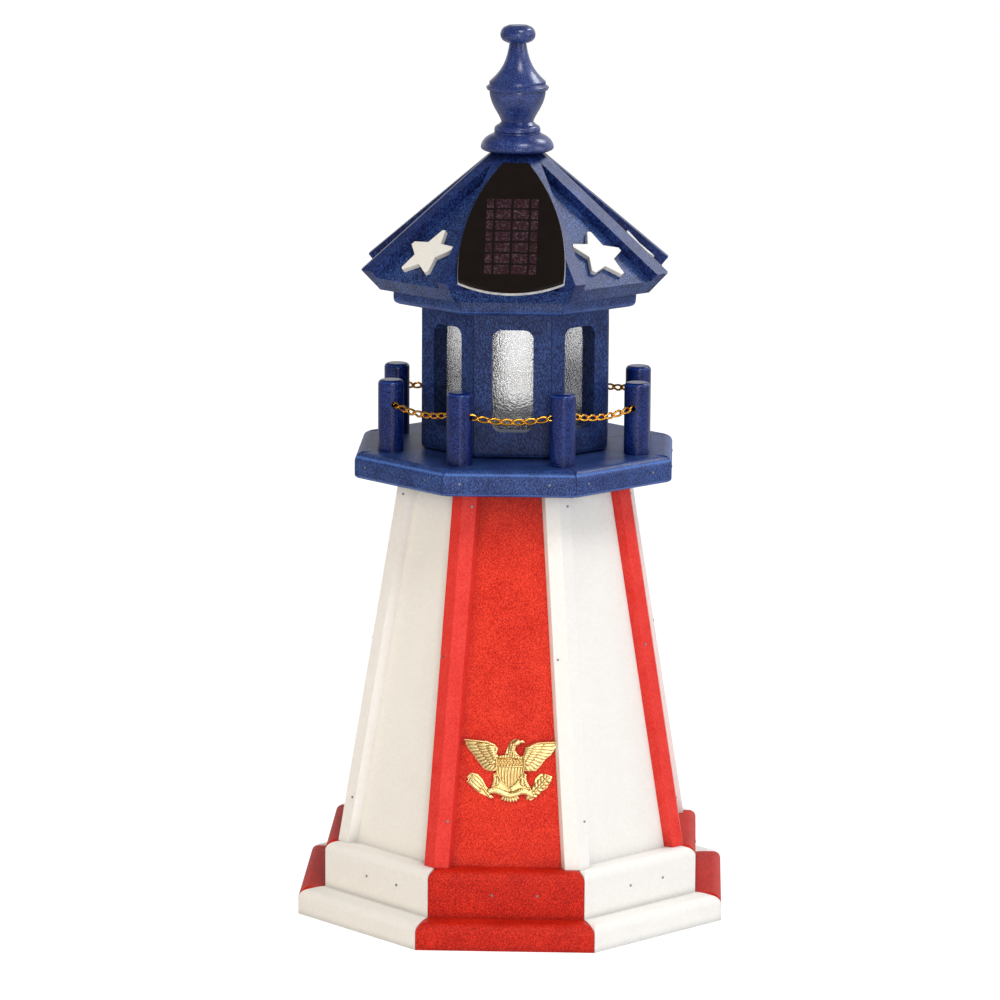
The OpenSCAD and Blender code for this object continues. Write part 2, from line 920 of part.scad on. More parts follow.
module case_openings() {
    translate([cell_x - door_l / 2, -door_w / 2, case_z - 1])
        cube([door_l, door_w, case_wall + 2]);
    translate([lamp_x, 0, case_z - 1])
        cylinder(d = lamp_d + 2 * door_gap, h = case_wall + 2);
    translate([switch_x - (slider_l + switch_travel) / 2 - door_gap, -slider_w / 2 - door_gap, case_z - 1])
        cube([slider_l + switch_travel + 2 * door_gap, slider_w + 2 * door_gap, case_wall + 2]);
}

module light_case() {
    color(black)
        difference() {
            union() {
                translate([-case_l / 2, -case_w / 2, case_z]) cube([case_l, case_w, case_h - case_top_t]);
                translate([-ear_span / 2, -ear_w / 2, case_z]) cube([ear_span, ear_w, ear_t]);
            }
            translate([case_wall - case_l / 2, case_wall - case_w / 2, case_floor_z])
                cube([case_l - 2 * case_wall, case_w - 2 * case_wall, case_h]);
            case_openings();
            for (side = [-1, 1])
                translate([side * case_screw_x, 0, case_z - 1])
                    cylinder(d = case_screw_d + 2 * door_gap, h = ear_t + 2, $fn = 32);
        }
}

module case_top() {
    color(black)
        difference() {
            translate([-case_l / 2, -case_w / 2, case_top_z]) cube([case_l, case_w, case_top_t]);
            translate([0, -wire_hole_y, case_top_z - 1])
                cylinder(d = wire_bore_d, h = case_top_t + 2, $fn = 32);
        }
}

module case_screw_holes() {
    for (side = [-1, 1])
        translate([side * case_screw_x, 0, case_z - case_screw_l])
            cylinder(d = case_screw_d, h = case_screw_l + 1, $fn = 24);
}

module case_screws() {
    head_d = 5.4;
    head_t = 1.6;
    slot_w = 0.8;
    shank = ear_t + case_screw_l - 1;
    color("silver")
        for (side = [-1, 1])
            translate([side * case_screw_x, 0, case_z + ear_t]) {
                difference() {
                    cylinder(d = head_d, h = head_t);
                    translate([-head_d, -slot_w / 2, head_t / 2])
                        cube([2 * head_d, slot_w, head_t]);
                }
                translate([0, 0, -shank])
                    cylinder(d = case_screw_d - 2 * dowel_gap, h = shank + head_t / 4, $fn = 24);
            }
}

module circuit_board() {
    color("#1f5a2c")
        translate([-case_l / 2 + case_wall + door_gap, -case_w / 2 + case_wall + door_gap, board_z])
            cube([case_l - 2 * (case_wall + door_gap), case_w - 2 * (case_wall + door_gap), board_t]);
}

module lamp() {
    lead_d = 0.8;
    lead_z = case_z + lamp_h - 1;
    color("#f4f1e2", 0.8)
        translate([lamp_x, 0, 0]) {
            translate([0, 0, case_z]) cylinder(d = lamp_d, h = lamp_h);
            translate([0, 0, case_z]) sphere(d = lamp_d);
            for (side = [-1, 1])
                translate([side * lamp_d / 5, 0, lead_z])
                    cylinder(d = lead_d, h = board_z - lead_z, $fn = 16);
        }
}

module cell() {
    cap_d = 5;
    cap_l = 1;
    color("#3a7d3a")
        translate([cell_x, 0, cell_z])
            rotate([90, 0, 0]) {
                cylinder(d = cell_d, h = cell_l - cap_l, center = true);
                cylinder(d = cap_d, h = cell_l + cap_l, center = true, $fn = 32);
            }
}

module battery_door() {
    color(black)
        translate([cell_x, 0, case_z]) {
            translate([-door_l / 2 + door_gap, -door_w / 2 + door_gap, -door_gap - door_lip / 2])
                cube([door_l - 2 * door_gap, door_w - 2 * door_gap, case_wall + door_lip / 2]);
            translate([-door_l / 2 - door_lip, -door_w / 2 - door_lip, -door_lip - door_gap])
                cube([door_l + 2 * door_lip, door_w + 2 * door_lip, door_lip]);
        }
}

module switch_slider() {
    color("white")
        translate([switch_x - switch_travel / 2, 0, case_z]) {
            translate([-slider_l / 2, -slider_w / 2, case_wall + door_gap - slider_h])
                cube([slider_l, slider_w, slider_h]);
            translate([-slider_plate_l / 2, -slider_plate_w / 2, case_wall + door_gap])
                cube([slider_plate_l, slider_plate_w, slider_plate_t]);
        }
}

lower_base_board(0);  // lower_base_board_1
lower_base_board(1);  // lower_base_board_2
lower_base_board(2);  // lower_base_board_3
lower_base_board(3);  // lower_base_board_4
lower_base_board(4);  // lower_base_board_5
lower_base_board(5);  // lower_base_board_6
lower_base_board(6);  // lower_base_board_7
lower_base_board(7);  // lower_base_board_8
upper_base_board(0);  // upper_base_board_1
upper_base_board(1);  // upper_base_board_2
upper_base_board(2);  // upper_base_board_3
upper_base_board(3);  // upper_base_board_4
upper_base_board(4);  // upper_base_board_5
upper_base_board(5);  // upper_base_board_6
upper_base_board(6);  // upper_base_board_7
upper_base_board(7);  // upper_base_board_8
tower_panel(0);  // tower_panel_1
tower_panel(1);  // tower_panel_2
tower_panel(2);  // tower_panel_3
tower_panel(3);  // tower_panel_4
tower_panel(4);  // tower_panel_5
tower_panel(5);  // tower_panel_6
tower_panel(6);  // tower_panel_7
tower_panel(7);  // tower_panel_8
tower_battens(red_faces, red);  // red_battens
tower_battens(white_faces, white_paint);  // white_battens
deck_boards();
posts();
chain();
lantern_wall(0);  // lantern_wall_1
lantern_wall(1);  // lantern_wall_2
lantern_wall(2);  // lantern_wall_3
lantern_wall(3);  // lantern_wall_4
lantern_wall(4);  // lantern_wall_5
lantern_wall(5);  // lantern_wall_6
lantern_wall(6);  // lantern_wall_7
lantern_wall(7);  // lantern_wall_8
window_panes();
eagle_emblem();
brads();
cornice_boards();
locating_ring();
roof_boards();
hip_strips();
roof_hub();
stars();
finial();
finial_dowel();
solar_back();
solar_front();
solar_cells();
solar_wire();
light_case();
case_top();
case_screws();
circuit_board();
lamp();
cell();
battery_door();
switch_slider();
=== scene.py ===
# %% [markdown]
# # A garden lighthouse
#
# This lesson dresses an eight-sided wooden lighthouse, 610 mm tall, that stands in a garden or on
# a porch. Its exact solids come from a CAD model: every board, batten, post and pane is already in
# its place, to the millimetre. Blender adds what the eye looks for, which is the paint, the
# gilding, the hammered panes, a real chain and the light. All lengths are in metres, with +Z up and
# the front face looking along -Y.

# %% The fixed frame
import json
import math

import bmesh
import bpy
from mathutils import Matrix, Vector

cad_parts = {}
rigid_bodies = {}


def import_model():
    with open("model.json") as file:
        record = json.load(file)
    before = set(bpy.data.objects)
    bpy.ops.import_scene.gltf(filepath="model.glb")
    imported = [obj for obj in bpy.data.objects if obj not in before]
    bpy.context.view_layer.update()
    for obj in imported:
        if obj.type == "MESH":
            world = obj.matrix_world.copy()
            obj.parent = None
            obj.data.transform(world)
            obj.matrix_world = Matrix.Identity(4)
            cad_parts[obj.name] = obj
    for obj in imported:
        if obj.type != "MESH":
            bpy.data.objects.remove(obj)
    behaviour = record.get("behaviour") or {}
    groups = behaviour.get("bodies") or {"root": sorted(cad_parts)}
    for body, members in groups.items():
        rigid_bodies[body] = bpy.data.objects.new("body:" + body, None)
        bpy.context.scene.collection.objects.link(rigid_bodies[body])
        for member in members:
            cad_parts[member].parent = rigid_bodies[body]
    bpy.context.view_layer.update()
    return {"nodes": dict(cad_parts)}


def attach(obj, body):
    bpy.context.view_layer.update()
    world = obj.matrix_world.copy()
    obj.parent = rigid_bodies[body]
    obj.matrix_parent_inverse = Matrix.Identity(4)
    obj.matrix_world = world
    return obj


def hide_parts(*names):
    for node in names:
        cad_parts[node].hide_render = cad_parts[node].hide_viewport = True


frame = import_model()
nodes = frame["nodes"]
MM = 0.001

# %% [markdown]
# ## The camera
#
# The picture was taken from far away with a long lens, so the upright edges hardly converge. The
# camera's place was worked out from the corners of the eight-sided tiers: how much a tier's front
# edge is longer than its back edge gives the distance, and how round each tier looks from above
# gives the height. A shift of the lens, rather than a turn, then moves the subject in the frame.

# %% Camera
DISTANCE = 3.336
CAMERA_HEIGHT = 0.931
LOOKS_DOWN = math.radians(10.463)
WALKS_ROUND = math.radians(1.987)
ROLL = math.radians(0.358)
SENSOR_MM = 36.0
LENS_IN_SENSORS = 4.908
SHIFT = (-0.01534, -0.04737)

camera_data = bpy.data.cameras.new("camera")
camera = bpy.data.objects.new("camera", camera_data)
bpy.context.scene.collection.objects.link(camera)
bpy.context.scene.camera = camera
camera.location = (
    DISTANCE * math.sin(WALKS_ROUND), -DISTANCE * math.cos(WALKS_ROUND), CAMERA_HEIGHT)
camera.rotation_euler = (
    Matrix.Rotation(WALKS_ROUND, 3, "Z")
    @ Matrix.Rotation(math.pi / 2 - LOOKS_DOWN, 3, "X")
    @ Matrix.Rotation(ROLL, 3, "Z")
).to_euler()
camera_data.sensor_width = SENSOR_MM
camera_data.lens = LENS_IN_SENSORS * SENSOR_MM
camera_data.shift_x, camera_data.shift_y = SHIFT
camera_data.clip_end = 50.0
print("camera at", [round(v, 3) for v in camera.location], "lens", round(camera_data.lens), "mm")

# %% [markdown]
# ## Nodes by the handful
#
# Every finish below is a small network of shader nodes. Writing each node out by hand takes many
# lines, so one function adds a node, sets its settings and fills its inputs. An input gets a plain
# value, or the output of an earlier node. Colours are chosen as the familiar hex codes, and the
# renderer works with linear light, so another function turns one into the other. Adding,
# multiplying or mixing two values, and taking the greater, come up so often that their settings
# have names of their own.

# %% Helpers for materials
PLUS, TIMES = {"operation": "ADD"}, {"operation": "MULTIPLY"}
GREATER = {"operation": "MAXIMUM"}
BLEND = {"data_type": "RGBA"}


def linear(code, alpha=1.0):
    """Turns an sRGB hex colour into the linear colour that the renderer uses."""
    channels = [int(code[k:k + 2], 16) / 255 for k in (1, 3, 5)]
    lit = [c / 12.92 if c <= 0.04045 else ((c + 0.055) / 1.055) ** 2.4 for c in channels]
    return (*lit, alpha)


def add(tree, kind, settings=None, **inputs):
    """Adds a node. Inputs are named as in Blender, with _ for a space, or as in0, in1 by place."""
    node = tree.nodes.new(kind)
    for name, value in (settings or {}).items():
        setattr(node, name, value)
    for name, value in inputs.items():
        by_place = name[:2] == "in" and name[2:].isdigit()
        socket = node.inputs[int(name[2:]) if by_place else name.replace("_", " ")]
        if isinstance(value, bpy.types.NodeSocket):
            tree.links.new(value, socket)
        else:
            socket.default_value = value
    return node


def new_material(name, rough, **shader_inputs):
    """Starts a material with its surface shader, and returns both with the tree and coordinates."""
    material = bpy.data.materials.new(name)
    material.use_nodes = True
    tree = material.node_tree
    tree.nodes.clear()
    shader = add(tree, "ShaderNodeBsdfPrincipled", Roughness=rough, **shader_inputs)
    add(tree, "ShaderNodeOutputMaterial", Surface=shader.outputs[0])
    place = add(tree, "ShaderNodeTexCoord").outputs["Object"]
    return material, tree, shader, place


print("middle grey in linear light is", round(linear("#808080")[0], 3))

# %% [markdown]
# ## Sponged and brushed paint
#
# The lighthouse is painted wood. Paint that is rolled or sponged on wood dries with a fine pebbled
# skin, and where colour was rubbed in, lighter flecks stay in the hollows. An image of such paint
# would repeat and blur, so noise draws it instead, on the object's own coordinates, and it runs on
# unbroken round every board. Two scales are enough: flecks of about a millimetre, and blotches of a
# centimetre or two where the coat is thicker. The same flecks lift the surface a little, so that
# light catches them. Along rounded edges that face half upwards the coat is paler, partly as worn
# paint and partly as a painted highlight. Where boards meet or a ledge stands over them, the coat
# is
# painted darker: painted shade.

# %% Paint
# The real flecks are some 0.3 to 0.6 mm across, which is less than a pixel of the picture. They
# are drawn 0.65 to 1.3 mm across, as coarse as they need to be to show.
BLOTCH_MM = 16.0
DRIFT = 0.12
# Which values of a noise, a normal or a shade count as its lowest and its highest.
FLECK_SPAN = {"in1": 0.38, "in2": 0.66}
BLOTCH_SPAN = {"in1": 0.3, "in2": 0.7}
EDGE_SPAN = {"in1": 0.34, "in2": 0.47}
SHADE_SPAN = {"in1": 0.3, "in2": 0.8}
# How dark the painted shade of corners and joints gets at its deepest.
DEEPEST_PAINTED_SHADE = 0.5


def paint(name, deep, pale, fleck_mm, contrast, share, rough, grain_mm, stretch=1.0,
          slant=(0.0, 0.0, 0.0), wear_and_highlight=0.0, shade_reach_mm=18.0, **shader_inputs):
    """Paint on wood: pale flecks, edges worn and painted light, painted shade in corners, pebbled
    skin.
    """
    material, tree, shader, place = new_material(name, rough, **shader_inputs)
    laid = add(tree, "ShaderNodeMapping", Vector=place, Rotation=slant, Scale=(1.0, 1.0, stretch))
    fleck = add(tree, "ShaderNodeTexNoise", Vector=laid.outputs[0],
                Scale=1 / (fleck_mm * MM), Detail=3.0, Roughness=0.6)
    blotch = add(tree, "ShaderNodeTexNoise", Vector=place,
                 Scale=1 / (BLOTCH_MM * MM), Detail=3.0, Roughness=0.6)
    spread = add(tree, "ShaderNodeMapRange", Value=fleck.outputs["Fac"],
                 **FLECK_SPAN, in3=-contrast, in4=contrast)
    drift = add(tree, "ShaderNodeMapRange", Value=blotch.outputs["Fac"],
                **BLOTCH_SPAN, in3=-DRIFT, in4=DRIFT)
    both = add(tree, "ShaderNodeMath", PLUS, in0=spread.outputs[0], in1=drift.outputs[0])
    # A rounded edge faces neither up nor sideways, so the height of its normal is near a half.
    normal = add(tree, "ShaderNodeNewGeometry").outputs["True Normal"]
    upward = add(tree, "ShaderNodeSeparateXYZ", Vector=normal)
    rounded = add(tree, "ShaderNodeMath", {"operation": "PINGPONG"},
                  in0=upward.outputs["Z"], in1=0.5)
    # On such edges the coat is painted paler: partly worn paint, partly a painted highlight.
    edge = add(tree, "ShaderNodeMapRange", Value=rounded.outputs[0],
               **EDGE_SPAN, in3=share, in4=share + wear_and_highlight)
    shares = add(tree, "ShaderNodeMath", {**PLUS, "use_clamp": True},
                 in0=both.outputs[0], in1=edge.outputs[0])
    coat = add(tree, "ShaderNodeMix", BLEND,
               Factor=shares.outputs[0], in6=linear(deep), in7=linear(pale))
    # Painted shade: where other pieces stand close, the less of a point's surroundings is open,
    # the darker its coat is painted.
    occlusion = add(tree, "ShaderNodeAmbientOcclusion", {"samples": 8}, Distance=shade_reach_mm * MM)
    painted_shade = add(tree, "ShaderNodeMapRange", Value=occlusion.outputs["AO"],
               **SHADE_SPAN, in3=DEEPEST_PAINTED_SHADE, in4=1.0)
    shaded_coat = add(tree, "ShaderNodeMix", {**BLEND, "blend_type": "MULTIPLY"},
               Factor=1.0, in6=coat.outputs[2], in7=painted_shade.outputs[0])
    tree.links.new(shaded_coat.outputs[2], shader.inputs["Base Color"])
    skin = add(tree, "ShaderNodeBump", Height=fleck.outputs["Fac"],
               Distance=grain_mm * MM, Strength=1.0)
    tree.links.new(skin.outputs[0], shader.inputs["Normal"])
    return material


print("flecks on blotches of", BLOTCH_MM, "mm")

# %% Red and white coats
# Outdoor paint weathers to a soft, low gloss. The flecks are laid aslant, so that their rows don't
# run with the boards.
LOW_GLOSS = {"Specular_IOR_Level": 0.14}
SATIN = {"Specular_IOR_Level": 0.24}
SLANT = (0.5, 0.9, 0.0)

# Red oil paint, sponged on the wide panels: lively orange flecks over a deep red, and painted shade
# that reaches far down under the deck.
red_paint = paint(
    "red_paint_on_wood", "#bc0f04", "#ff4a30", fleck_mm=0.8, contrast=0.45, share=0.48,
    rough=0.4, grain_mm=0.2, stretch=0.8, slant=SLANT, shade_reach_mm=42.0, **LOW_GLOSS)
# The same red brushed on narrow battens: an even coat with hardly a fleck, pinker as a painted
# sheen.
red_smooth = paint(
    "red_paint_on_batten", "#d8231a", "#fb564c", fleck_mm=1.3, contrast=0.2, share=0.4,
    rough=0.34, grain_mm=0.06, **LOW_GLOSS)
# The base boards get a darker copy of the red: painted shade. Their painted shade stays in the
# joints.
red_base = paint(
    "red_paint_on_base_board", "#a60a00", "#f2361a", fleck_mm=0.9, contrast=0.45, share=0.42,
    rough=0.5, grain_mm=0.2, stretch=0.8, slant=SLANT, shade_reach_mm=8.0, **SATIN)
# White oil paint, brushed, hides its flecks: two warm whites a shade apart, in soft cloudlets of
# 2 to 3 mm.
# The base boards' white is a touch lighter than the panels' white: painted light. Their painted
# shade in the joints reaches only a short way.
white_base = paint(
    "white_paint_on_base_board", "#f4f1ea", "#fbf9f5", fleck_mm=2.2, contrast=0.3, share=0.4,
    rough=0.4, grain_mm=0.16, shade_reach_mm=8.0, **LOW_GLOSS)
white_paint = paint(
    "white_paint_on_wood", "#f3f0e8", "#faf8f3", fleck_mm=2.2, contrast=0.3, share=0.4,
    rough=0.4, grain_mm=0.16, **LOW_GLOSS)
white_smooth = paint(
    "white_paint_on_batten", "#f4f1ea", "#fbf9f5", fleck_mm=2.5, contrast=0.25, share=0.4,
    rough=0.34, grain_mm=0.08, **LOW_GLOSS)
# The stars are sawn from thin board and dipped: a matt white.
star_white = paint(
    "white_paint_on_star", "#f2f0e9", "#faf9f5", fleck_mm=2.0, contrast=0.3, share=0.4,
    rough=0.45, grain_mm=0.12, **LOW_GLOSS)
print("red and white coats mixed")

# %% Blue coats
# Navy oil paint, sponged over a lighter blue: the first coat shows through as pale flecks, and
# whole along the rounded edges of the deck and, less, of the cornice, partly as worn paint and
# partly as a painted highlight. This wood is handled most, so it shines more than the rest.
DECK_BLUE = {
    "deep": "#020e4a", "pale": "#4c74c0", "fleck_mm": 0.65, "contrast": 0.36, "share": 0.28,
    "rough": 0.4, "grain_mm": 0.1, "stretch": 0.5, "slant": SLANT, "Specular_IOR_Level": 0.36,
}
blue_paint = paint("blue_paint_on_wood", wear_and_highlight=0.8, **DECK_BLUE)
cornice_paint = paint("blue_paint_on_cornice", wear_and_highlight=0.25, **DECK_BLUE)
# The lantern walls get a darker copy of the blue, painted shade under the eaves, and their painted
# shade reaches far down under the cornice.
wall_paint = paint(
    "blue_paint_on_lantern_wall", "#010a3e", "#4469b4", fleck_mm=0.7, contrast=0.38, share=0.26,
    rough=0.4, grain_mm=0.12, stretch=0.4, slant=SLANT, wear_and_highlight=0.4, shade_reach_mm=48.0, **SATIN)
# The roof boards and strips were brushed from peak to eave, so their flecks are longer down the
# slope than across it.
roof_paint = paint(
    "blue_paint_on_roof_board", "#01093c", "#5078c4", fleck_mm=0.9, contrast=0.48, share=0.25,
    rough=0.36, grain_mm=0.18, stretch=0.35, **SATIN)
blue_smooth = paint(
    "blue_paint_on_strip", "#020b42", "#3e64b2", fleck_mm=0.9, contrast=0.32, share=0.2,
    rough=0.36, grain_mm=0.08, stretch=0.5, **SATIN)
# Posts and finial were turned on a lathe and sanded, and have varnish over the paint: a smooth
# skin, a soft sheen down one side, and on the posts a painted highlight on the rim round the top.
blue_turned = paint(
    "blue_paint_on_post", "#010a44", "#2c54b0", fleck_mm=1.0, contrast=0.28, share=0.18,
    rough=0.28, grain_mm=0.03, slant=SLANT, wear_and_highlight=0.5,
    Specular_IOR_Level=0.22, Coat_Weight=0.25, Coat_Roughness=0.16)
finial_paint = paint(
    "blue_varnish_on_finial", "#040f4c", "#4866b2", fleck_mm=0.8, contrast=0.42, share=0.28,
    rough=0.3, grain_mm=0.03, slant=SLANT,
    Specular_IOR_Level=0.42, Coat_Weight=0.3, Coat_Roughness=0.22)
print("blue coats mixed")

# %% [markdown]
# ## Metal, plastic and bare wood
#
# The smaller pieces are nearly one colour each: plated wire, nail heads, moulded plastic, a
# lacquered board, bare softwood inside the roof. A flat colour would look like a placeholder, so a
# soft noise makes each one a little lighter here and darker there, and lifts it by hundredths of a
# millimetre, which is what breaks up a reflection. The light's parts are inside the roof and seen
# from below.


# %% Plain finishes
def finish(name, colour, rough, cloud_mm, change, height_mm, **shader_inputs):
    """A nearly even finish: one colour that drifts a little, over a faintly uneven surface."""
    material, tree, shader, place = new_material(name, rough, **shader_inputs)
    cloud = add(tree, "ShaderNodeTexNoise", Vector=place, Scale=1 / (cloud_mm * MM), Detail=3.0)
    value = add(tree, "ShaderNodeMapRange", Value=cloud.outputs["Fac"],
                **BLOTCH_SPAN, in3=1 - change, in4=1 + change)
    hue = add(tree, "ShaderNodeHueSaturation", Value=value.outputs[0], Color=linear(colour))
    tree.links.new(hue.outputs[0], shader.inputs["Base Color"])
    skin = add(tree, "ShaderNodeBump", Height=cloud.outputs["Fac"],
               Distance=height_mm * MM, Strength=1.0)
    tree.links.new(skin.outputs[0], shader.inputs["Normal"])
    return material


# After the colour come the roughness, the width of the clouds in mm, how far they change the
# colour, and how high they lift the surface in mm.
# Brass-plated wire is a bright warm mirror. Screws are new steel, brads are dulled by weather.
chain_gold = finish("gold_plated_wire", "#dd9f3c", 0.14, 2.0, 0.15, 0.02, Metallic=1.0)
steel = finish("bright_steel", "#a9a9a9", 0.35, 2.0, 0.08, 0.01, Metallic=1.0)
brad_steel = finish("dulled_steel", "#8c8f94", 0.5, 2.0, 0.08, 0.01, Metallic=1.0)
# Sawn softwood shows slow bands of tan and a dry, woolly surface.
bare_wood = finish("bare_softwood", "#c79b62", 0.6, 6.0, 0.15, 0.1)
# The light's shell and its parts: moulded ABS with a fine grain, green lacquer, a milky lens, a
# shiny wrap shrunk on the cell, and a soft vinyl sheath on the wire.
case_black = finish("black_abs", "#161514", 0.5, 1.0, 0.15, 0.03)
switch_grey = finish("light_grey_abs", "#cfcfc9", 0.45, 2.0, 0.06, 0.02)
board_green = finish("lacquered_circuit_board", "#1e5a2c", 0.3, 3.0, 0.2, 0.02)
lamp_lens = finish("milky_lamp", "#f2ecd8", 0.25, 4.0, 0.05, 0.01)
cell_wrap = finish("green_shrink_wrap", "#2f8a3c", 0.35, 5.0, 0.1, 0.01)
wire_sheath = finish("dark_red_sheath", "#7a1414", 0.5, 3.0, 0.1, 0.01)
print("plain finishes mixed")

# %% Solar panel
# The panel is black acrylic on a pale moulded back. It is so smooth that only a slow waviness of
# 9 mm shows. Under it, the cells are a film whose purple-brown crystals are about 2 mm across.
pale_plastic = finish("pale_moulded_plastic", "#c4c5c6", 0.5, 4.0, 0.2, 0.02)
black_panel = finish("black_acrylic", "#1a1512", 0.12, 9.0, 0.12, 0.004, Specular_IOR_Level=0.06)
cell_film = paint(
    "solar_cell_film", "#2e1c22", "#7c6870", fleck_mm=1.8, contrast=0.25, share=0.06,
    rough=0.18, grain_mm=0.01, Specular_IOR_Level=0.08)
print("solar panel finished")

# %% [markdown]
# ## Gilding that knows its hollows
#
# A gilt casting is bright on its ridges and brown in its hollows, where polish doesn't reach. The
# mesh of the eagle, made below, stores in each of its points how deep it lies between its
# neighbours, under the name hollow. The shader reads that number and mixes the two golds by it. The
# pits of real cast metal are a tenth or two of a millimetre across, too fine for the picture, so
# they are drawn at 0.7 mm.

# %% Gilt casting
RIDGE, HOLLOW = -0.06, 0.12
PIT_MM = 0.7
PIT_DEPTH_MM = 0.04

emblem_gold, tree, shader, place = new_material("gilt_brass_casting", 0.34, Metallic=1.0)
depth = add(tree, "ShaderNodeAttribute", {"attribute_name": "hollow"})
shade = add(tree, "ShaderNodeMapRange", Value=depth.outputs["Fac"],
            in1=RIDGE, in2=HOLLOW, in3=0.0, in4=1.0)
tone = add(tree, "ShaderNodeMix", BLEND,
           Factor=shade.outputs[0], in6=linear("#ffe8a4"), in7=linear("#ab7024"))
tree.links.new(tone.outputs[2], shader.inputs["Base Color"])
pits = add(tree, "ShaderNodeTexNoise", Vector=place, Scale=1 / (PIT_MM * MM), Detail=2.0)
skin = add(tree, "ShaderNodeBump", Height=pits.outputs["Fac"],
           Distance=PIT_DEPTH_MM * MM, Strength=1.0)
tree.links.new(skin.outputs[0], shader.inputs["Normal"])
print("gilding of", len(tree.nodes), "nodes")

# %% [markdown]
# ## Hammered panes
#
# The windows hold clear acrylic that is pressed with an uneven, hammered texture. It bends the view
# through it in thousands of small dimples. Through the front pane one sees the window behind it as
# a bright patch, and the dark inside of the walls as a frame round it. A smooth glass shader with a
# strong bump does this by itself, with nothing painted on. The dimples are a little over a
# millimetre across, as in the picture, and about a quarter of a millimetre deep.

# %% Panes
DIMPLE_MM = 1.3
DIMPLE_DEPTH_MM = 0.24

textured_pane, tree, shader, place = new_material(
    "hammered_clear_acrylic", 0.03, Base_Color=linear("#f3f3f3"), IOR=1.49,
    Transmission_Weight=0.97)
dimples = add(tree, "ShaderNodeTexNoise", Vector=place,
              Scale=1 / (DIMPLE_MM * MM), Detail=2.0, Roughness=0.5)
hammer = add(tree, "ShaderNodeBump", Height=dimples.outputs["Fac"],
             Distance=DIMPLE_DEPTH_MM * MM, Strength=1.0)
tree.links.new(hammer.outputs[0], shader.inputs["Normal"])
print("panes with dimples of", DIMPLE_MM, "mm")

# %% [markdown]
# ## Every solid gets its finish
#
# The solids keep their shapes. Each one only gets a material, by its name in the CAD model. Red and
# white take turns round the eight sides, and start with red on the front.

# %% Which finish each solid wears
SIDES = 8
FINISHES = {
    "red_battens": red_smooth, "white_battens": white_smooth, "deck_boards": blue_paint,
    "posts": blue_turned, "window_panes": textured_pane, "brads": brad_steel,
    "cornice_boards": cornice_paint, "locating_ring": blue_paint, "roof_boards": roof_paint,
    "hip_strips": blue_smooth, "roof_hub": bare_wood, "stars": star_white, "finial": finial_paint,
    "finial_dowel": bare_wood, "solar_back": pale_plastic, "solar_front": black_panel,
    "solar_cells": cell_film, "solar_wire": wire_sheath, "light_case": case_black,
    "case_top": case_black, "case_screws": steel, "circuit_board": board_green, "lamp": lamp_lens,
    "cell": cell_wrap, "battery_door": case_black, "switch_slider": switch_grey,
    "chain": chain_gold, "eagle_emblem": emblem_gold,
}
for side in range(1, SIDES + 1):
    FINISHES[f"tower_panel_{side}"] = red_paint if side % 2 else white_paint
    for kind in ("lower_base_board", "upper_base_board"):
        FINISHES[f"{kind}_{side}"] = red_base if side % 2 else white_base
    FINISHES[f"lantern_wall_{side}"] = wall_paint


def wear(obj, material):
    """Gives an object one material."""
    obj.data.materials.clear()
    obj.data.materials.append(material)


for name, solid in nodes.items():
    wear(solid, FINISHES[name])
print("finishes given to", len(nodes), "solids")

# %% [markdown]
# ## The chain round the deck
#
# A fine gilt chain hangs in eight swags and runs through a hole in each post. It is a twisted
# chain: each oval link has its two ends turned about 50 degrees, one way and the other, so that two
# links cross where they hook and all of them lie flat. A chain is one shape repeated along a path,
# which is what Geometry Nodes are good at. The path is a closed curve in the same places as the
# swags of the model. The tree draws one link, from a circle that is stretched and twisted, and puts
# a copy at every step of the path.

# %% The chain's path, in millimetres as in the CAD model
POST_RING = 91.0
POST = 17.6
CHAIN_UP = 354.8
CHAIN_SAG = 3.0
SWAG_STEPS = 10
EIGHTH = 2 * math.pi / SIDES


def chain_path():
    """Points of one round of the chain: a swag for each side, joined through the posts."""
    half = EIGHTH / 2
    reach = POST_RING * math.sin(half) - POST / 2 * math.cos(half)
    out = POST_RING * math.cos(half) + POST / 2 * math.sin(half)
    points = []
    for side in range(SIDES):
        turn = Matrix.Rotation(side * EIGHTH, 3, "Z")
        for k in range(SWAG_STEPS + 1):
            along = 2 * k / SWAG_STEPS - 1
            drop_by = CHAIN_SAG * (1 - along * along)
            points.append(turn @ Vector((along * reach, -out, CHAIN_UP - drop_by)))
    return points


path_data = bpy.data.curves.new("chain_path", "CURVE")
path_data.dimensions = "3D"
spline = path_data.splines.new("POLY")
route = chain_path()
spline.points.add(len(route) - 1)
for point, stop in zip(spline.points, route):
    point.co = (*(stop * MM), 1.0)
spline.use_cyclic_u = True
path = bpy.data.objects.new("chain_path", path_data)
bpy.context.scene.collection.objects.link(path)
around = sum((b - a).length for a, b in zip(route, route[1:] + route[:1]))
print("chain path of", len(route), "points,", round(around), "mm round")

# %% The tree that lays the links
# The links' size is that of a common craft chain, at almost 8 mm from link to link. Their wire is
# a little thick for it, because real wire of about 1 mm would be thinner than two pixels.
LINK = {"Half length": 4.7 * MM, "Half width": 1.75 * MM, "Wire radius": 0.82 * MM,
        "Twist": math.radians(50)}
LINKS = 72
LINK_POINTS = 18
WIRE_POINTS = 6

chain_tree = bpy.data.node_groups.new("links_along_a_path", "GeometryNodeTree")
face = chain_tree.interface
face.new_socket("Path", in_out="INPUT", socket_type="NodeSocketGeometry")
for name in LINK:
    face.new_socket(name, in_out="INPUT", socket_type="NodeSocketFloat")
face.new_socket("Links", in_out="INPUT", socket_type="NodeSocketInt")
face.new_socket("Chain", in_out="OUTPUT", socket_type="NodeSocketGeometry")
given = add(chain_tree, "NodeGroupInput").outputs
print("tree with inputs", [item.name for item in face.items_tree if item.in_out == "INPUT"])

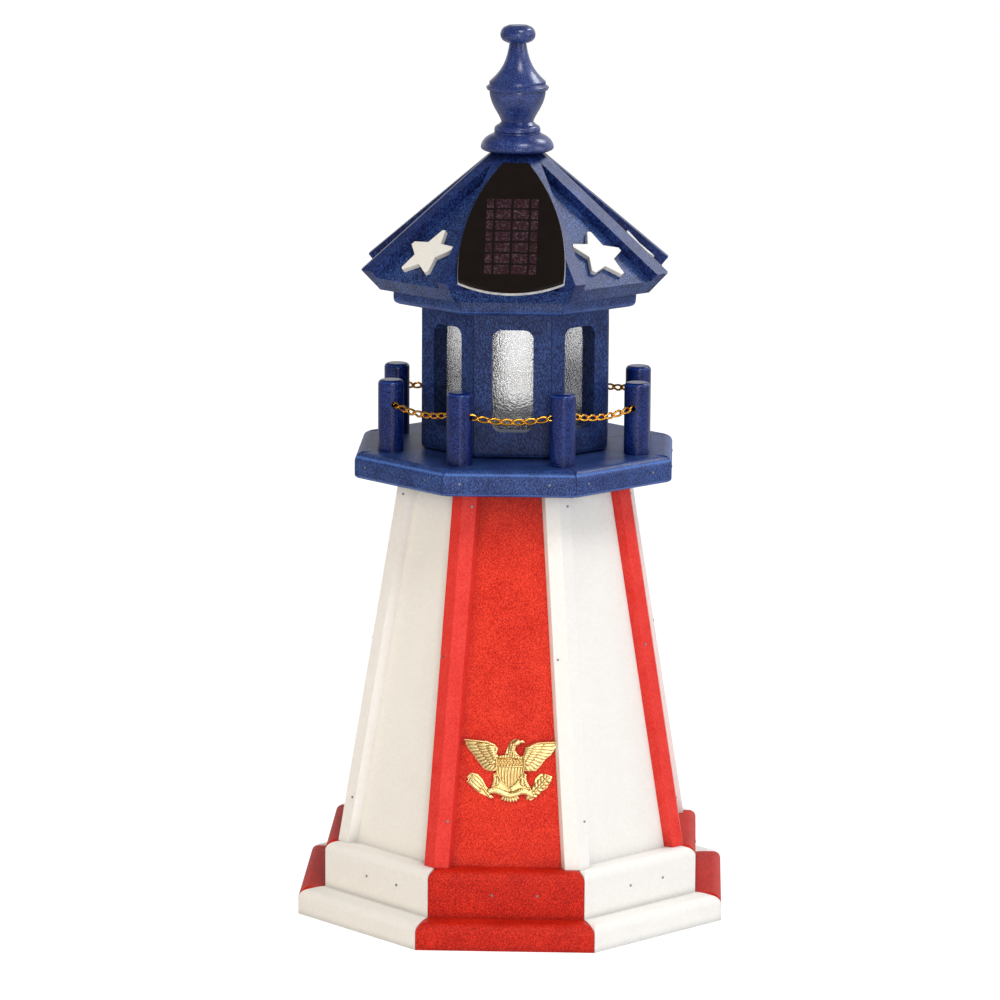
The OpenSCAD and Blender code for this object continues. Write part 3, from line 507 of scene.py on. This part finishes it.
# %% One link, stretched and twisted from a circle
circle = add(chain_tree, "GeometryNodeCurvePrimitiveCircle", Resolution=LINK_POINTS, Radius=1.0)
spot = add(chain_tree, "ShaderNodeSeparateXYZ",
           Vector=add(chain_tree, "GeometryNodeInputPosition").outputs[0])
along, across = spot.outputs["X"], spot.outputs["Y"]
turned = add(chain_tree, "ShaderNodeMath", TIMES, in0=along, in1=given["Twist"])
sine = add(chain_tree, "ShaderNodeMath", {"operation": "SINE"}, in0=turned.outputs[0])
cosine = add(chain_tree, "ShaderNodeMath", {"operation": "COSINE"}, in0=turned.outputs[0])
wide = add(chain_tree, "ShaderNodeMath", TIMES, in0=across, in1=given["Half width"])
oval_x = add(chain_tree, "ShaderNodeMath", TIMES, in0=wide.outputs[0], in1=sine.outputs[0])
oval_y = add(chain_tree, "ShaderNodeMath", TIMES, in0=wide.outputs[0], in1=cosine.outputs[0])
oval_z = add(chain_tree, "ShaderNodeMath", TIMES, in0=along, in1=given["Half length"])
oval = add(chain_tree, "ShaderNodeCombineXYZ",
           X=oval_x.outputs[0], Y=oval_y.outputs[0], Z=oval_z.outputs[0])
bent = add(chain_tree, "GeometryNodeSetPosition",
           Geometry=circle.outputs[0], Position=oval.outputs[0])
wire = add(chain_tree, "GeometryNodeCurvePrimitiveCircle",
           Resolution=WIRE_POINTS, Radius=given["Wire radius"])
link = add(chain_tree, "GeometryNodeCurveToMesh",
           Curve=bent.outputs[0], Profile_Curve=wire.outputs[0])
print("a link of", LINK_POINTS * WIRE_POINTS, "faces")

# %% A copy at each step of the path
steps = add(chain_tree, "GeometryNodeCurveToPoints", {"mode": "COUNT"},
            Curve=given["Path"], Count=given["Links"])
laid = add(chain_tree, "GeometryNodeInstanceOnPoints", Points=steps.outputs["Points"],
           Instance=link.outputs[0], Rotation=steps.outputs["Rotation"])
real = add(chain_tree, "GeometryNodeRealizeInstances", Geometry=laid.outputs[0])
smooth = add(chain_tree, "GeometryNodeSetShadeSmooth", Geometry=real.outputs[0])
gilded = add(chain_tree, "GeometryNodeSetMaterial",
             Geometry=smooth.outputs[0], Material=chain_gold)
add(chain_tree, "NodeGroupOutput", Chain=gilded.outputs[0])
print("chain tree of", len(chain_tree.nodes), "nodes")


# %% From the tree to a plain mesh
def grown(carrier, tree, sizes, name):
    """Runs a tree on an object and returns the result as a new object with a plain mesh."""
    modifier = carrier.modifiers.new("grow", "NODES")
    modifier.node_group = tree
    asked = (item for item in tree.interface.items_tree if item.in_out == "INPUT")
    ids = {item.name: item.identifier for item in asked}
    for label, value in sizes.items():
        modifier[ids[label]] = value
    evaluated = carrier.evaluated_get(bpy.context.evaluated_depsgraph_get())
    mesh = bpy.data.meshes.new_from_object(evaluated)
    carrier.modifiers.remove(modifier)
    mesh.name = name
    obj = bpy.data.objects.new(name, mesh)
    bpy.context.scene.collection.objects.link(obj)
    return obj


chain = grown(path, chain_tree, {**LINK, "Links": LINKS}, "twisted_link_chain")
bpy.data.objects.remove(path)
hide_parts("chain")
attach(chain, "house")
print("chain of", LINKS, "links,", len(chain.data.polygons), "faces")

# %% [markdown]
# ## The gilt eagle
#
# A cast emblem sits on the front panel: an eagle with spread wings, a striped shield on its
# breast, a bundle of arrows on its left and a leafy branch on its right. A casting like this is
# modelled in wax before it is cast, feather by feather, and that is how it is made here. Flat
# plates give the outline. Rounded drops laid on them become feathers, leaves and stripes. A voxel
# remesh then melts all of them into one skin, as the foundry does. All numbers of the outline are
# millimetres from the emblem's centre, across and up. After the points of a drop come its width,
# its half thickness, and how high above the panel its middle lies.

# %% The drop of wax that everything is made of
AROUND, ROWS = 10, 7


def ball():
    """A ball of triangles and squares round the z axis, as points and faces."""
    points = [Vector((0, 0, -1))]
    for row in range(1, ROWS):
        tilt = math.pi * row / ROWS
        for k in range(AROUND):
            turn = 2 * math.pi * k / AROUND
            points.append(Vector((math.sin(tilt) * math.cos(turn),
                                  math.sin(tilt) * math.sin(turn), -math.cos(tilt))))
    points.append(Vector((0, 0, 1)))
    faces = [(0, 1 + (k + 1) % AROUND, 1 + k) for k in range(AROUND)]
    for row in range(ROWS - 2):
        low, high = 1 + row * AROUND, 1 + (row + 1) * AROUND
        faces += [(low + k, low + (k + 1) % AROUND, high + (k + 1) % AROUND, high + k)
                  for k in range(AROUND)]
    top = len(points) - 1
    faces += [(top, top - AROUND + k, top - AROUND + (k + 1) % AROUND) for k in range(AROUND)]
    return points, faces


BALL, BALL_FACES = ball()
print("a drop has", len(BALL_FACES), "faces")

# %% Wax tools
ROOT_WIDTH, GETS_WIDER = 0.7, 0.45
OVERLAP = 0.6
wax_points, wax_faces = [], []


def drop(start, end, wide, high, lift):
    """Lays one rounded feather, leaf or bead that is fuller towards its end."""
    start, end = Vector((*start, lift)), Vector((*end, lift))
    across = (end - start).normalized().cross(Vector((0, 0, 1)))
    first = len(wax_points)
    for x, y, z in BALL:
        share = (z + 1) / 2
        side = across * x * wide / 2 * (ROOT_WIDTH + GETS_WIDER * share)
        wax_points.append(start.lerp(end, share) + side + Vector((0, 0, y * high)))
    wax_faces.extend(tuple(first + k for k in corners) for corners in BALL_FACES)


def plate(outline, thick, low=-0.6):
    """Lays a flat plate with a given outline. It starts below the panel, where it is cut off."""
    first, count = len(wax_points), len(outline)
    wax_points.extend(Vector((x, y, z)) for z in (low, thick) for x, y in outline)
    wax_faces.append(tuple(range(first + count - 1, first - 1, -1)))
    wax_faces.append(tuple(range(first + count, first + 2 * count)))
    for k in range(count):
        after = (k + 1) % count
        wax_faces.append((first + k, first + after, first + count + after, first + count + k))


def at_share(line, share):
    """The point at a share of a polyline's length."""
    points = [Vector(p) for p in line]
    lengths = [(b - a).length for a, b in zip(points, points[1:])]
    left = share * sum(lengths)
    for a, b, length in zip(points, points[1:], lengths):
        if left <= length:
            return a.lerp(b, left / length)
        left -= length
    return points[-1]


def fan(roots, tips, count, wide, high, lift):
    """Lays a row of feathers from one line to another."""
    for k in range(count):
        share = (k + 0.5) / count
        drop(at_share(roots, share), at_share(tips, share), wide, high, lift)


def cord(line, wide, high, lift, beads=10, taper=0.0):
    """Lays a raised ridge along a line, of beads that overlap."""
    for k in range(beads):
        a, b = at_share(line, k / beads), at_share(line, (k + 1) / beads)
        reach = (b - a) * OVERLAP
        drop(a - reach, b + reach, wide * (1 - taper * k / beads), high, lift)


def on_side(sign, line):
    """A line on the right side, or mirrored to the left where the sign is -1."""
    return [(sign * x, y) for x, y in line]


print("wax tools ready")

# %% Wings: three rows of feathers, each laid higher than the last, under a thick leading edge
LEFT_EDGE = [(-31.0, 20.0), (-30.2, 16.9), (-28.4, 13.6), (-25.1, 10.1), (-22.9, 6.7),
             (-20.1, 3.2), (-17.4, -0.1), (-12.9, -1.4)]
RIGHT_EDGE = [(31.2, 18.8), (30.8, 14.6), (27.9, 10.3), (23.8, 6.9), (21.0, 2.7),
              (17.5, -0.8), (12.3, -1.1)]
LEFT_TOP = [(-9.8, 11.0), (-8.9, 14.2), (-11.0, 16.8), (-15.7, 18.7), (-23.1, 19.5),
            (-31.0, 20.2)]
RIGHT_TOP = [(9.6, 10.0), (10.9, 12.0), (11.8, 15.0), (15.1, 16.9), (19.1, 18.4),
             (25.3, 18.9), (31.2, 19.2)]
for sign, edge, top in ((-1, LEFT_EDGE, LEFT_TOP), (1, RIGHT_EDGE, RIGHT_TOP)):
    plate(top + edge + on_side(sign, [(8, -0.5), (7.5, 8.5)]), 1.0)
    fan(on_side(sign, [(14, 17.4), (12.6, 13.2), (10.6, 8.5), (9.6, 3.0)]), edge,
        10, 3.0, 0.95, 1.0)
    fan(on_side(sign, [(11.8, 17.0), (10.6, 13.4), (9.6, 9.4), (9.0, 4.6)]),
        on_side(sign, [(23.6, 18.0), (20.8, 13.0), (17.0, 8.0), (13.2, 3.0)]), 8, 2.5, 0.9, 2.1)
    fan(on_side(sign, [(10.2, 15.6), (9.6, 12.8), (9.2, 10.2), (8.8, 7.6)]),
        on_side(sign, [(16.8, 16.8), (15.0, 12.8), (12.8, 9.4), (11.2, 6.4)]), 6, 2.1, 0.9, 3.0)
    cord(top, 2.3, 1.3, 2.0, beads=16, taper=0.5)
print("wings:", len(wax_faces), "faces of wax")

# %% Body and head
plate([(-9, 8), (-4.4, 9.2), (-3, 11.5), (-1.7, 15.4), (0.2, 18.6), (2.6, 20.8), (5.5, 21),
       (7.2, 20.2), (9.2, 19.3), (7.2, 18), (6.2, 16.6), (4.2, 15.6), (3.2, 13.6), (4.8, 10.8),
       (8, 8.6), (10, 6), (10, 0), (-9, 0)], 1.6)
drop((0.2, 9.5), (2.6, 18.4), 5.0, 1.5, 1.7)  # neck
drop((1.2, 17.0), (7.4, 19.4), 4.2, 1.7, 1.9)  # head
drop((5.2, 19.4), (9.7, 19.1), 2.4, 1.2, 1.7)  # beak
drop((8.4, 19.4), (10.0, 18.3), 1.3, 0.8, 1.5)  # its hooked tip
for row in range(5):
    for k in range(-1, 2):
        x, y = 0.9 + row * 0.35 + k * 1.5, 10.6 + row * 1.6
        drop((x, y + 1.1), (x - 0.2, y - 0.7), 1.3, 0.5, 2.9 - 0.35 * abs(k))
fan([(-6.5, 9.5), (0.5, 11.0), (7.5, 9.0)], [(-8.4, 7.6), (0.4, 8.2), (9.2, 7.0)],
    9, 2.0, 0.8, 2.1)
print("body:", len(wax_faces), "faces of wax")

# %% Legs
for sign, knee, claw in ((-1, (-11.2, -6.4), (-12.6, -12.4)), (1, (11.6, -7.2), (14.6, -12.6))):
    hip = (sign * 9.6, -1.6)
    inside = on_side(sign, [(12.0, -14.6), (1.0, -17.0), (1.0, -8.0), (5.0, -4.0)])
    plate([hip, knee, claw, *inside], 1.2)
    fan([hip, *on_side(sign, [(9.0, -6.0), (9.6, -10.5)])],
        [(sign * 11.4, -3.4), (knee[0], knee[1] - 1), claw], 6, 1.5, 0.6, 1.4)
    fan(on_side(sign, [(7.6, -4.5), (7.0, -9.0)]), on_side(sign, [(9.4, -6.0), (9.6, -11.5)]),
        4, 1.5, 0.6, 1.5)
print("legs:", len(wax_faces), "faces of wax")

# %% Shield: a rim, upright stripes that end at the curve of its foot, and rows of studs above
LEFT_RIM = [(-9.2, 7.0), (-9.2, 2.2), (-8.3, -2.6), (-5.4, -8.2), (-0.5, -13.4)]
RIGHT_RIM = [(10.0, 7.0), (9.8, 2.2), (8.7, -3.0), (5.0, -8.8), (-0.5, -13.4)]
SHIELD_MIDDLE, HALF_SHIELD = 0.4, 9.2
STRIPES, FIRST_STRIPE, ALL_STRIPES = 8, -8.0, 16.8
STUD_ROWS, STUDS = 3, 9

plate(LEFT_RIM + RIGHT_RIM[-2::-1], 2.5)
for rim in (LEFT_RIM, RIGHT_RIM):
    cord(rim, 1.15, 0.9, 2.7, beads=16)
for k in range(STRIPES):
    across = FIRST_STRIPE + ALL_STRIPES * (k + 0.5) / STRIPES
    # The further out a stripe stands, the shorter it is, as the curve of the rim asks.
    outwards = abs(across - SHIELD_MIDDLE) / HALF_SHIELD
    foot = -12.4 + 13.6 * outwards ** 1.55
    drop((across, 2.4), (across, foot - 0.5), 1.25, 0.5, 2.6)
for row in range(STUD_ROWS):
    for k in range(STUDS):
        across, up = -7.8 + 2.0 * k + (row % 2) * 0.9, 6.3 - 1.5 * row
        drop((across - 0.45, up), (across + 0.45, up), 1.15, 0.65, 2.65)
drop((-8.8, 2.3), (9.6, 2.3), 0.7, 0.4, 2.7)
print("shield:", len(wax_faces), "faces of wax")

# %% Branches: a bundle of feathered arrows on the left, and a leafy twig on the right
plate([(-26.6, -2.4), (-29.0, -5.2), (-26.8, -10.4), (-23.8, -13.9), (-19.6, -16.7),
       (-13, -19.3), (-12.4, -14.0), (-15.8, -12.2), (-18.3, -7), (-21.8, -3.3)], 0.9)
plate([(23.9, -2.4), (28.8, -4.3), (27.9, -7.9), (25.1, -12.5), (21, -15.3), (18.3, -18),
       (14.3, -21), (11.0, -18.5), (14, -14), (15.8, -13), (16.2, -10.6), (17.2, -6),
       (20.5, -2.6)], 0.9)
for shift in (0.0, 2.6, 5.2):
    a = Vector((-17.4 - 0.4 * shift, -11.6 - 0.7 * shift))
    b = Vector((-26.4 - 0.4 * shift, -3.6 - 0.75 * shift))
    drop(a, b, 3.1, 1.1, 1.3)
    for k in range(6):
        barb = a.lerp(b, 0.35 + 0.12 * k)
        drop(barb, barb + Vector((-1.7, -0.5)), 0.7, 0.4, 1.8)
        drop(barb, barb + Vector((0.2, 1.7)), 0.7, 0.4, 1.8)
cord([(-18.5, -12.0), (-12.8, -19.0)], 1.5, 0.9, 1.4, beads=4)
for k in range(6):
    stem = Vector((14.6, -17.4)).lerp(Vector((25.2, -5.6)), k / 5.5)
    drop(stem, stem + Vector((4.4, -0.6)), 2.4, 1.0, 1.3)
    drop(stem, stem + Vector((-0.6, 4.4)), 2.4, 1.0, 1.3)
    drop(stem, stem + Vector((2.4, 2.6)), 2.2, 1.1, 1.6)
cord([(12.0, -19.6), (20.0, -11.0)], 1.2, 0.8, 1.3, beads=5)
print("branches:", len(wax_faces), "faces of wax")

# %% Scroll, tail and claws
SCROLL = [(-14.4, -14.8), (-9.2, -14.2), (-4.9, -16.0), (-0.6, -17.6), (3.8, -16.6),
          (8.1, -14.6), (12.2, -15.2), (15.6, -17.6)]
cord(SCROLL, 4.8, 1.5, 1.2, beads=40)
plate([(-12.0, -9.0), (12.0, -9.0), (12.0, -16.5), (0.0, -18.0), (-12.0, -16.5)], 0.7)
fan([(-4.2, -17.4), (0, -18.2), (4.4, -17.4)],
    [(-6.6, -20.4), (-3, -21.8), (1.1, -22.4), (5.3, -21.6), (7.2, -19.0)], 7, 1.8, 0.8, 1.1)
for sign, foot in ((-1, (-12.8, -17.4)), (1, (13.6, -17.0))):
    for k in range(3):
        drop(foot, (foot[0] + sign * (k - 1.2) * 1.8, foot[1] - 2.2), 0.9, 0.6, 1.6)
print("emblem:", len(wax_faces), "faces of wax")

# %% [markdown]
# ## From wax to metal
#
# The remesh lays a grid of small cubes over the wax and wraps one skin round all that is inside. A
# light smoothing takes away the steps of the grid. The back is then cut flat, because it lies on
# the panel, and the cut is closed. The panel leans inwards, so the emblem is turned to lean with
# it. This is done in the mesh itself, and the object stays unturned at the origin.

# %% Melt, smooth and cut flat at the back
VOXEL = 0.22
SMOOTHING = 0.5

wax_mesh = bpy.data.meshes.new("wax")
wax_mesh.from_pydata(wax_points, [], wax_faces)
model = bpy.data.objects.new("wax", wax_mesh)
bpy.context.scene.collection.objects.link(model)
melt = model.modifiers.new("melt", "REMESH")
melt.mode = "VOXEL"
melt.voxel_size = VOXEL
cast = bmesh.new()
cast.from_mesh(model.evaluated_get(bpy.context.evaluated_depsgraph_get()).to_mesh())
bpy.data.objects.remove(model)
bmesh.ops.smooth_vert(cast, verts=cast.verts, factor=SMOOTHING,
                      use_axis_x=True, use_axis_y=True, use_axis_z=True)
bmesh.ops.bisect_plane(cast, geom=cast.verts[:] + cast.edges[:] + cast.faces[:],
                       plane_co=(0, 0, 0), plane_no=(0, 0, 1), clear_inner=True)
bmesh.ops.triangle_fill(cast, edges=[e for e in cast.edges if e.is_boundary], use_beauty=True)
bmesh.ops.recalc_face_normals(cast, faces=cast.faces)
open_edges = sum(e.is_boundary for e in cast.edges)
print("cast of", len(cast.faces), "faces, open edges", open_edges)

# %% Depth of the hollows, and the place on the panel
EMBLEM_UP, EMBLEM_ACROSS = 66.2, 1.2
PANEL_FOOT = Vector((0.0, -113.0, 50.0))
UP_PANEL = Vector((0.0, 40.75, 254.0)).normalized()
ACROSS_PANEL = Vector((1, 0, 0))

hollow = cast.verts.layers.float.new("hollow")
for vert in cast.verts:
    beside = [e.other_vert(vert).co for e in vert.link_edges]
    mean = sum(beside, Vector()) / len(beside)
    vert[hollow] = (mean - vert.co).dot(vert.normal) / VOXEL
lean = Matrix((ACROSS_PANEL, UP_PANEL, ACROSS_PANEL.cross(UP_PANEL))).transposed()
centre = PANEL_FOOT + EMBLEM_ACROSS * ACROSS_PANEL + EMBLEM_UP * UP_PANEL
for vert in cast.verts:
    vert.co = (centre + lean @ vert.co) * MM
emblem_mesh = bpy.data.meshes.new("cast_eagle")
cast.to_mesh(emblem_mesh)
cast.free()
emblem_mesh.polygons.foreach_set("use_smooth", [True] * len(emblem_mesh.polygons))
eagle = bpy.data.objects.new("cast_eagle", emblem_mesh)
bpy.context.scene.collection.objects.link(eagle)
wear(eagle, emblem_gold)
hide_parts("eagle_emblem")
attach(eagle, "house")
print("eagle's size in mm", [round(v / MM, 1) for v in eagle.dimensions])

# %% [markdown]
# ## Light and stage
#
# The picture has a plain white ground and soft light that is a little stronger and cooler from the
# right, and warmer from the left. The world gives the even part. The camera, and a view through a
# pane, see it as white. Where it lights the paint it is dimmer, so that white boards keep their
# tone. In reflections it is swept from grey to white, brighter low behind the object and on its
# right and darker overhead, as in a studio with its screens up. That gives the turned wood and the
# gilding dark sides as well as bright ones.

# %% World
EVEN_LIGHT = 0.26
# Each part of the reflected sweep goes from one brightness to another (in3 to in4) between two
# places on an axis (in1 to in2).
BEHIND = {"in1": 0.0, "in2": 0.5, "in3": 0.12, "in4": 0.85}
LOW = {"in1": 0.2, "in2": 0.55, "in3": 1.0, "in4": 0.15}
TO_RIGHT = {"in1": -0.2, "in2": 0.6, "in3": 0.12, "in4": 1.0}
OVERHEAD = {"in1": 0.6, "in2": 0.95, "in3": 1.0, "in4": 0.2}

world = bpy.data.worlds.new("studio")
bpy.context.scene.world = world
world.use_nodes = True
tree = world.node_tree
tree.nodes.clear()
rays = add(tree, "ShaderNodeLightPath")
seen = add(tree, "ShaderNodeMath", GREATER,
           in0=rays.outputs["Is Camera Ray"], in1=rays.outputs["Is Transmission Ray"])
aim = add(tree, "ShaderNodeSeparateXYZ",
          Vector=add(tree, "ShaderNodeTexCoord").outputs["Generated"]).outputs
behind = add(tree, "ShaderNodeMapRange", Value=aim["Y"], **BEHIND)
low = add(tree, "ShaderNodeMapRange", Value=aim["Z"], **LOW)
horizon = add(tree, "ShaderNodeMath", TIMES, in0=behind.outputs[0], in1=low.outputs[0])
to_right = add(tree, "ShaderNodeMapRange", Value=aim["X"], **TO_RIGHT)
sides = add(tree, "ShaderNodeMath", GREATER, in0=horizon.outputs[0], in1=to_right.outputs[0])
overhead = add(tree, "ShaderNodeMapRange", Value=aim["Z"], **OVERHEAD)
sweep = add(tree, "ShaderNodeMath", TIMES, in0=sides.outputs[0], in1=overhead.outputs[0])
mirrored = add(tree, "ShaderNodeMath", TIMES,
               in0=rays.outputs["Is Glossy Ray"], in1=sweep.outputs[0])
shown = add(tree, "ShaderNodeMath", GREATER, in0=seen.outputs[0], in1=mirrored.outputs[0])
level = add(tree, "ShaderNodeMath", GREATER, in0=shown.outputs[0], in1=EVEN_LIGHT)
sky = add(tree, "ShaderNodeBackground", Color=(1.0, 1.0, 1.0, 1.0), Strength=level.outputs[0])
add(tree, "ShaderNodeOutputWorld", Surface=sky.outputs[0])
print("world of", len(tree.nodes), "nodes")

# %% Lamps
# Each lamp is a soft square: its place, the height that it aims at, its edge, watts and colour.
LAMPS = {
    "key_high": ((0.9, -1.7, 2.8), 0.3, 1.0, 36, "#fdfdff"),
    "front": ((0.5, -3.0, 0.6), 0.3, 0.9, 20, "#fdfdff"),
    "side_right": ((2.6, -0.6, 1.0), 0.3, 1.2, 11, "#f2f6ff"),
    "rim_right": ((1.6, 1.25, 2.4), 0.4, 0.8, 24, "#f2f6ff"),
    "fill_left": ((-1.9, -1.7, 1.3), 0.3, 1.4, 21, "#ffedd2"),
}
for name, (stand, aim_up, edge, watts, colour) in LAMPS.items():
    lamp_data = bpy.data.lights.new(name, "AREA")
    lamp_data.size = edge
    lamp_data.energy = watts
    lamp_data.color = linear(colour)[:3]
    lamp = bpy.data.objects.new(name, lamp_data)
    bpy.context.scene.collection.objects.link(lamp)
    lamp.location = stand
    towards = Vector((0, 0, aim_up)) - Vector(stand)
    lamp.rotation_euler = towards.to_track_quat("-Z", "Y").to_euler()
    # The left lamp only fills the shade, and would show as a pale stripe on the turned posts.
    lamp.visible_glossy = name != "fill_left"
print(len(LAMPS), "lamps, together", sum(row[3] for row in LAMPS.values()), "watts")

# %% [markdown]
# ## The floor
#
# The floor has to be as white as the ground of the picture, and still carry the soft shadow of the
# base. For the camera it therefore glows for three quarters, and is a plain lit surface for the
# rest. The glow is hidden from the rays that light the object, so it adds no light to it.

# %% Floor
REACH = 12.0
GLOW = 1.28
GLOW_SHARE = 0.75

floor_mesh = bpy.data.meshes.new("floor")
corners = [(-REACH, -REACH, 0), (REACH, -REACH, 0), (REACH, REACH, 0), (-REACH, REACH, 0)]
floor_mesh.from_pydata(corners, [], [(0, 1, 2, 3)])
floor = bpy.data.objects.new("floor", floor_mesh)
bpy.context.scene.collection.objects.link(floor)
floor_white, tree, shader, _ = new_material(
    "white_studio_floor", 0.9, Base_Color=linear("#f4f4f4"))
rays = add(tree, "ShaderNodeLightPath")
glow = add(tree, "ShaderNodeEmission", Color=(1, 1, 1, 1), Strength=GLOW)
seen = add(tree, "ShaderNodeMath", GREATER,
           in0=rays.outputs["Is Camera Ray"], in1=rays.outputs["Is Transmission Ray"])
part_glow = add(tree, "ShaderNodeMath", TIMES, in0=seen.outputs[0], in1=GLOW_SHARE)
mixed = add(tree, "ShaderNodeMixShader",
            in0=part_glow.outputs[0], in1=shader.outputs[0], in2=glow.outputs[0])
output = next(node for node in tree.nodes if node.type == "OUTPUT_MATERIAL")
tree.links.new(mixed.outputs[0], output.inputs["Surface"])
wear(floor, floor_white)
bpy.context.scene.view_settings.view_transform = "Standard"
print("floor of", 2 * REACH, "m")
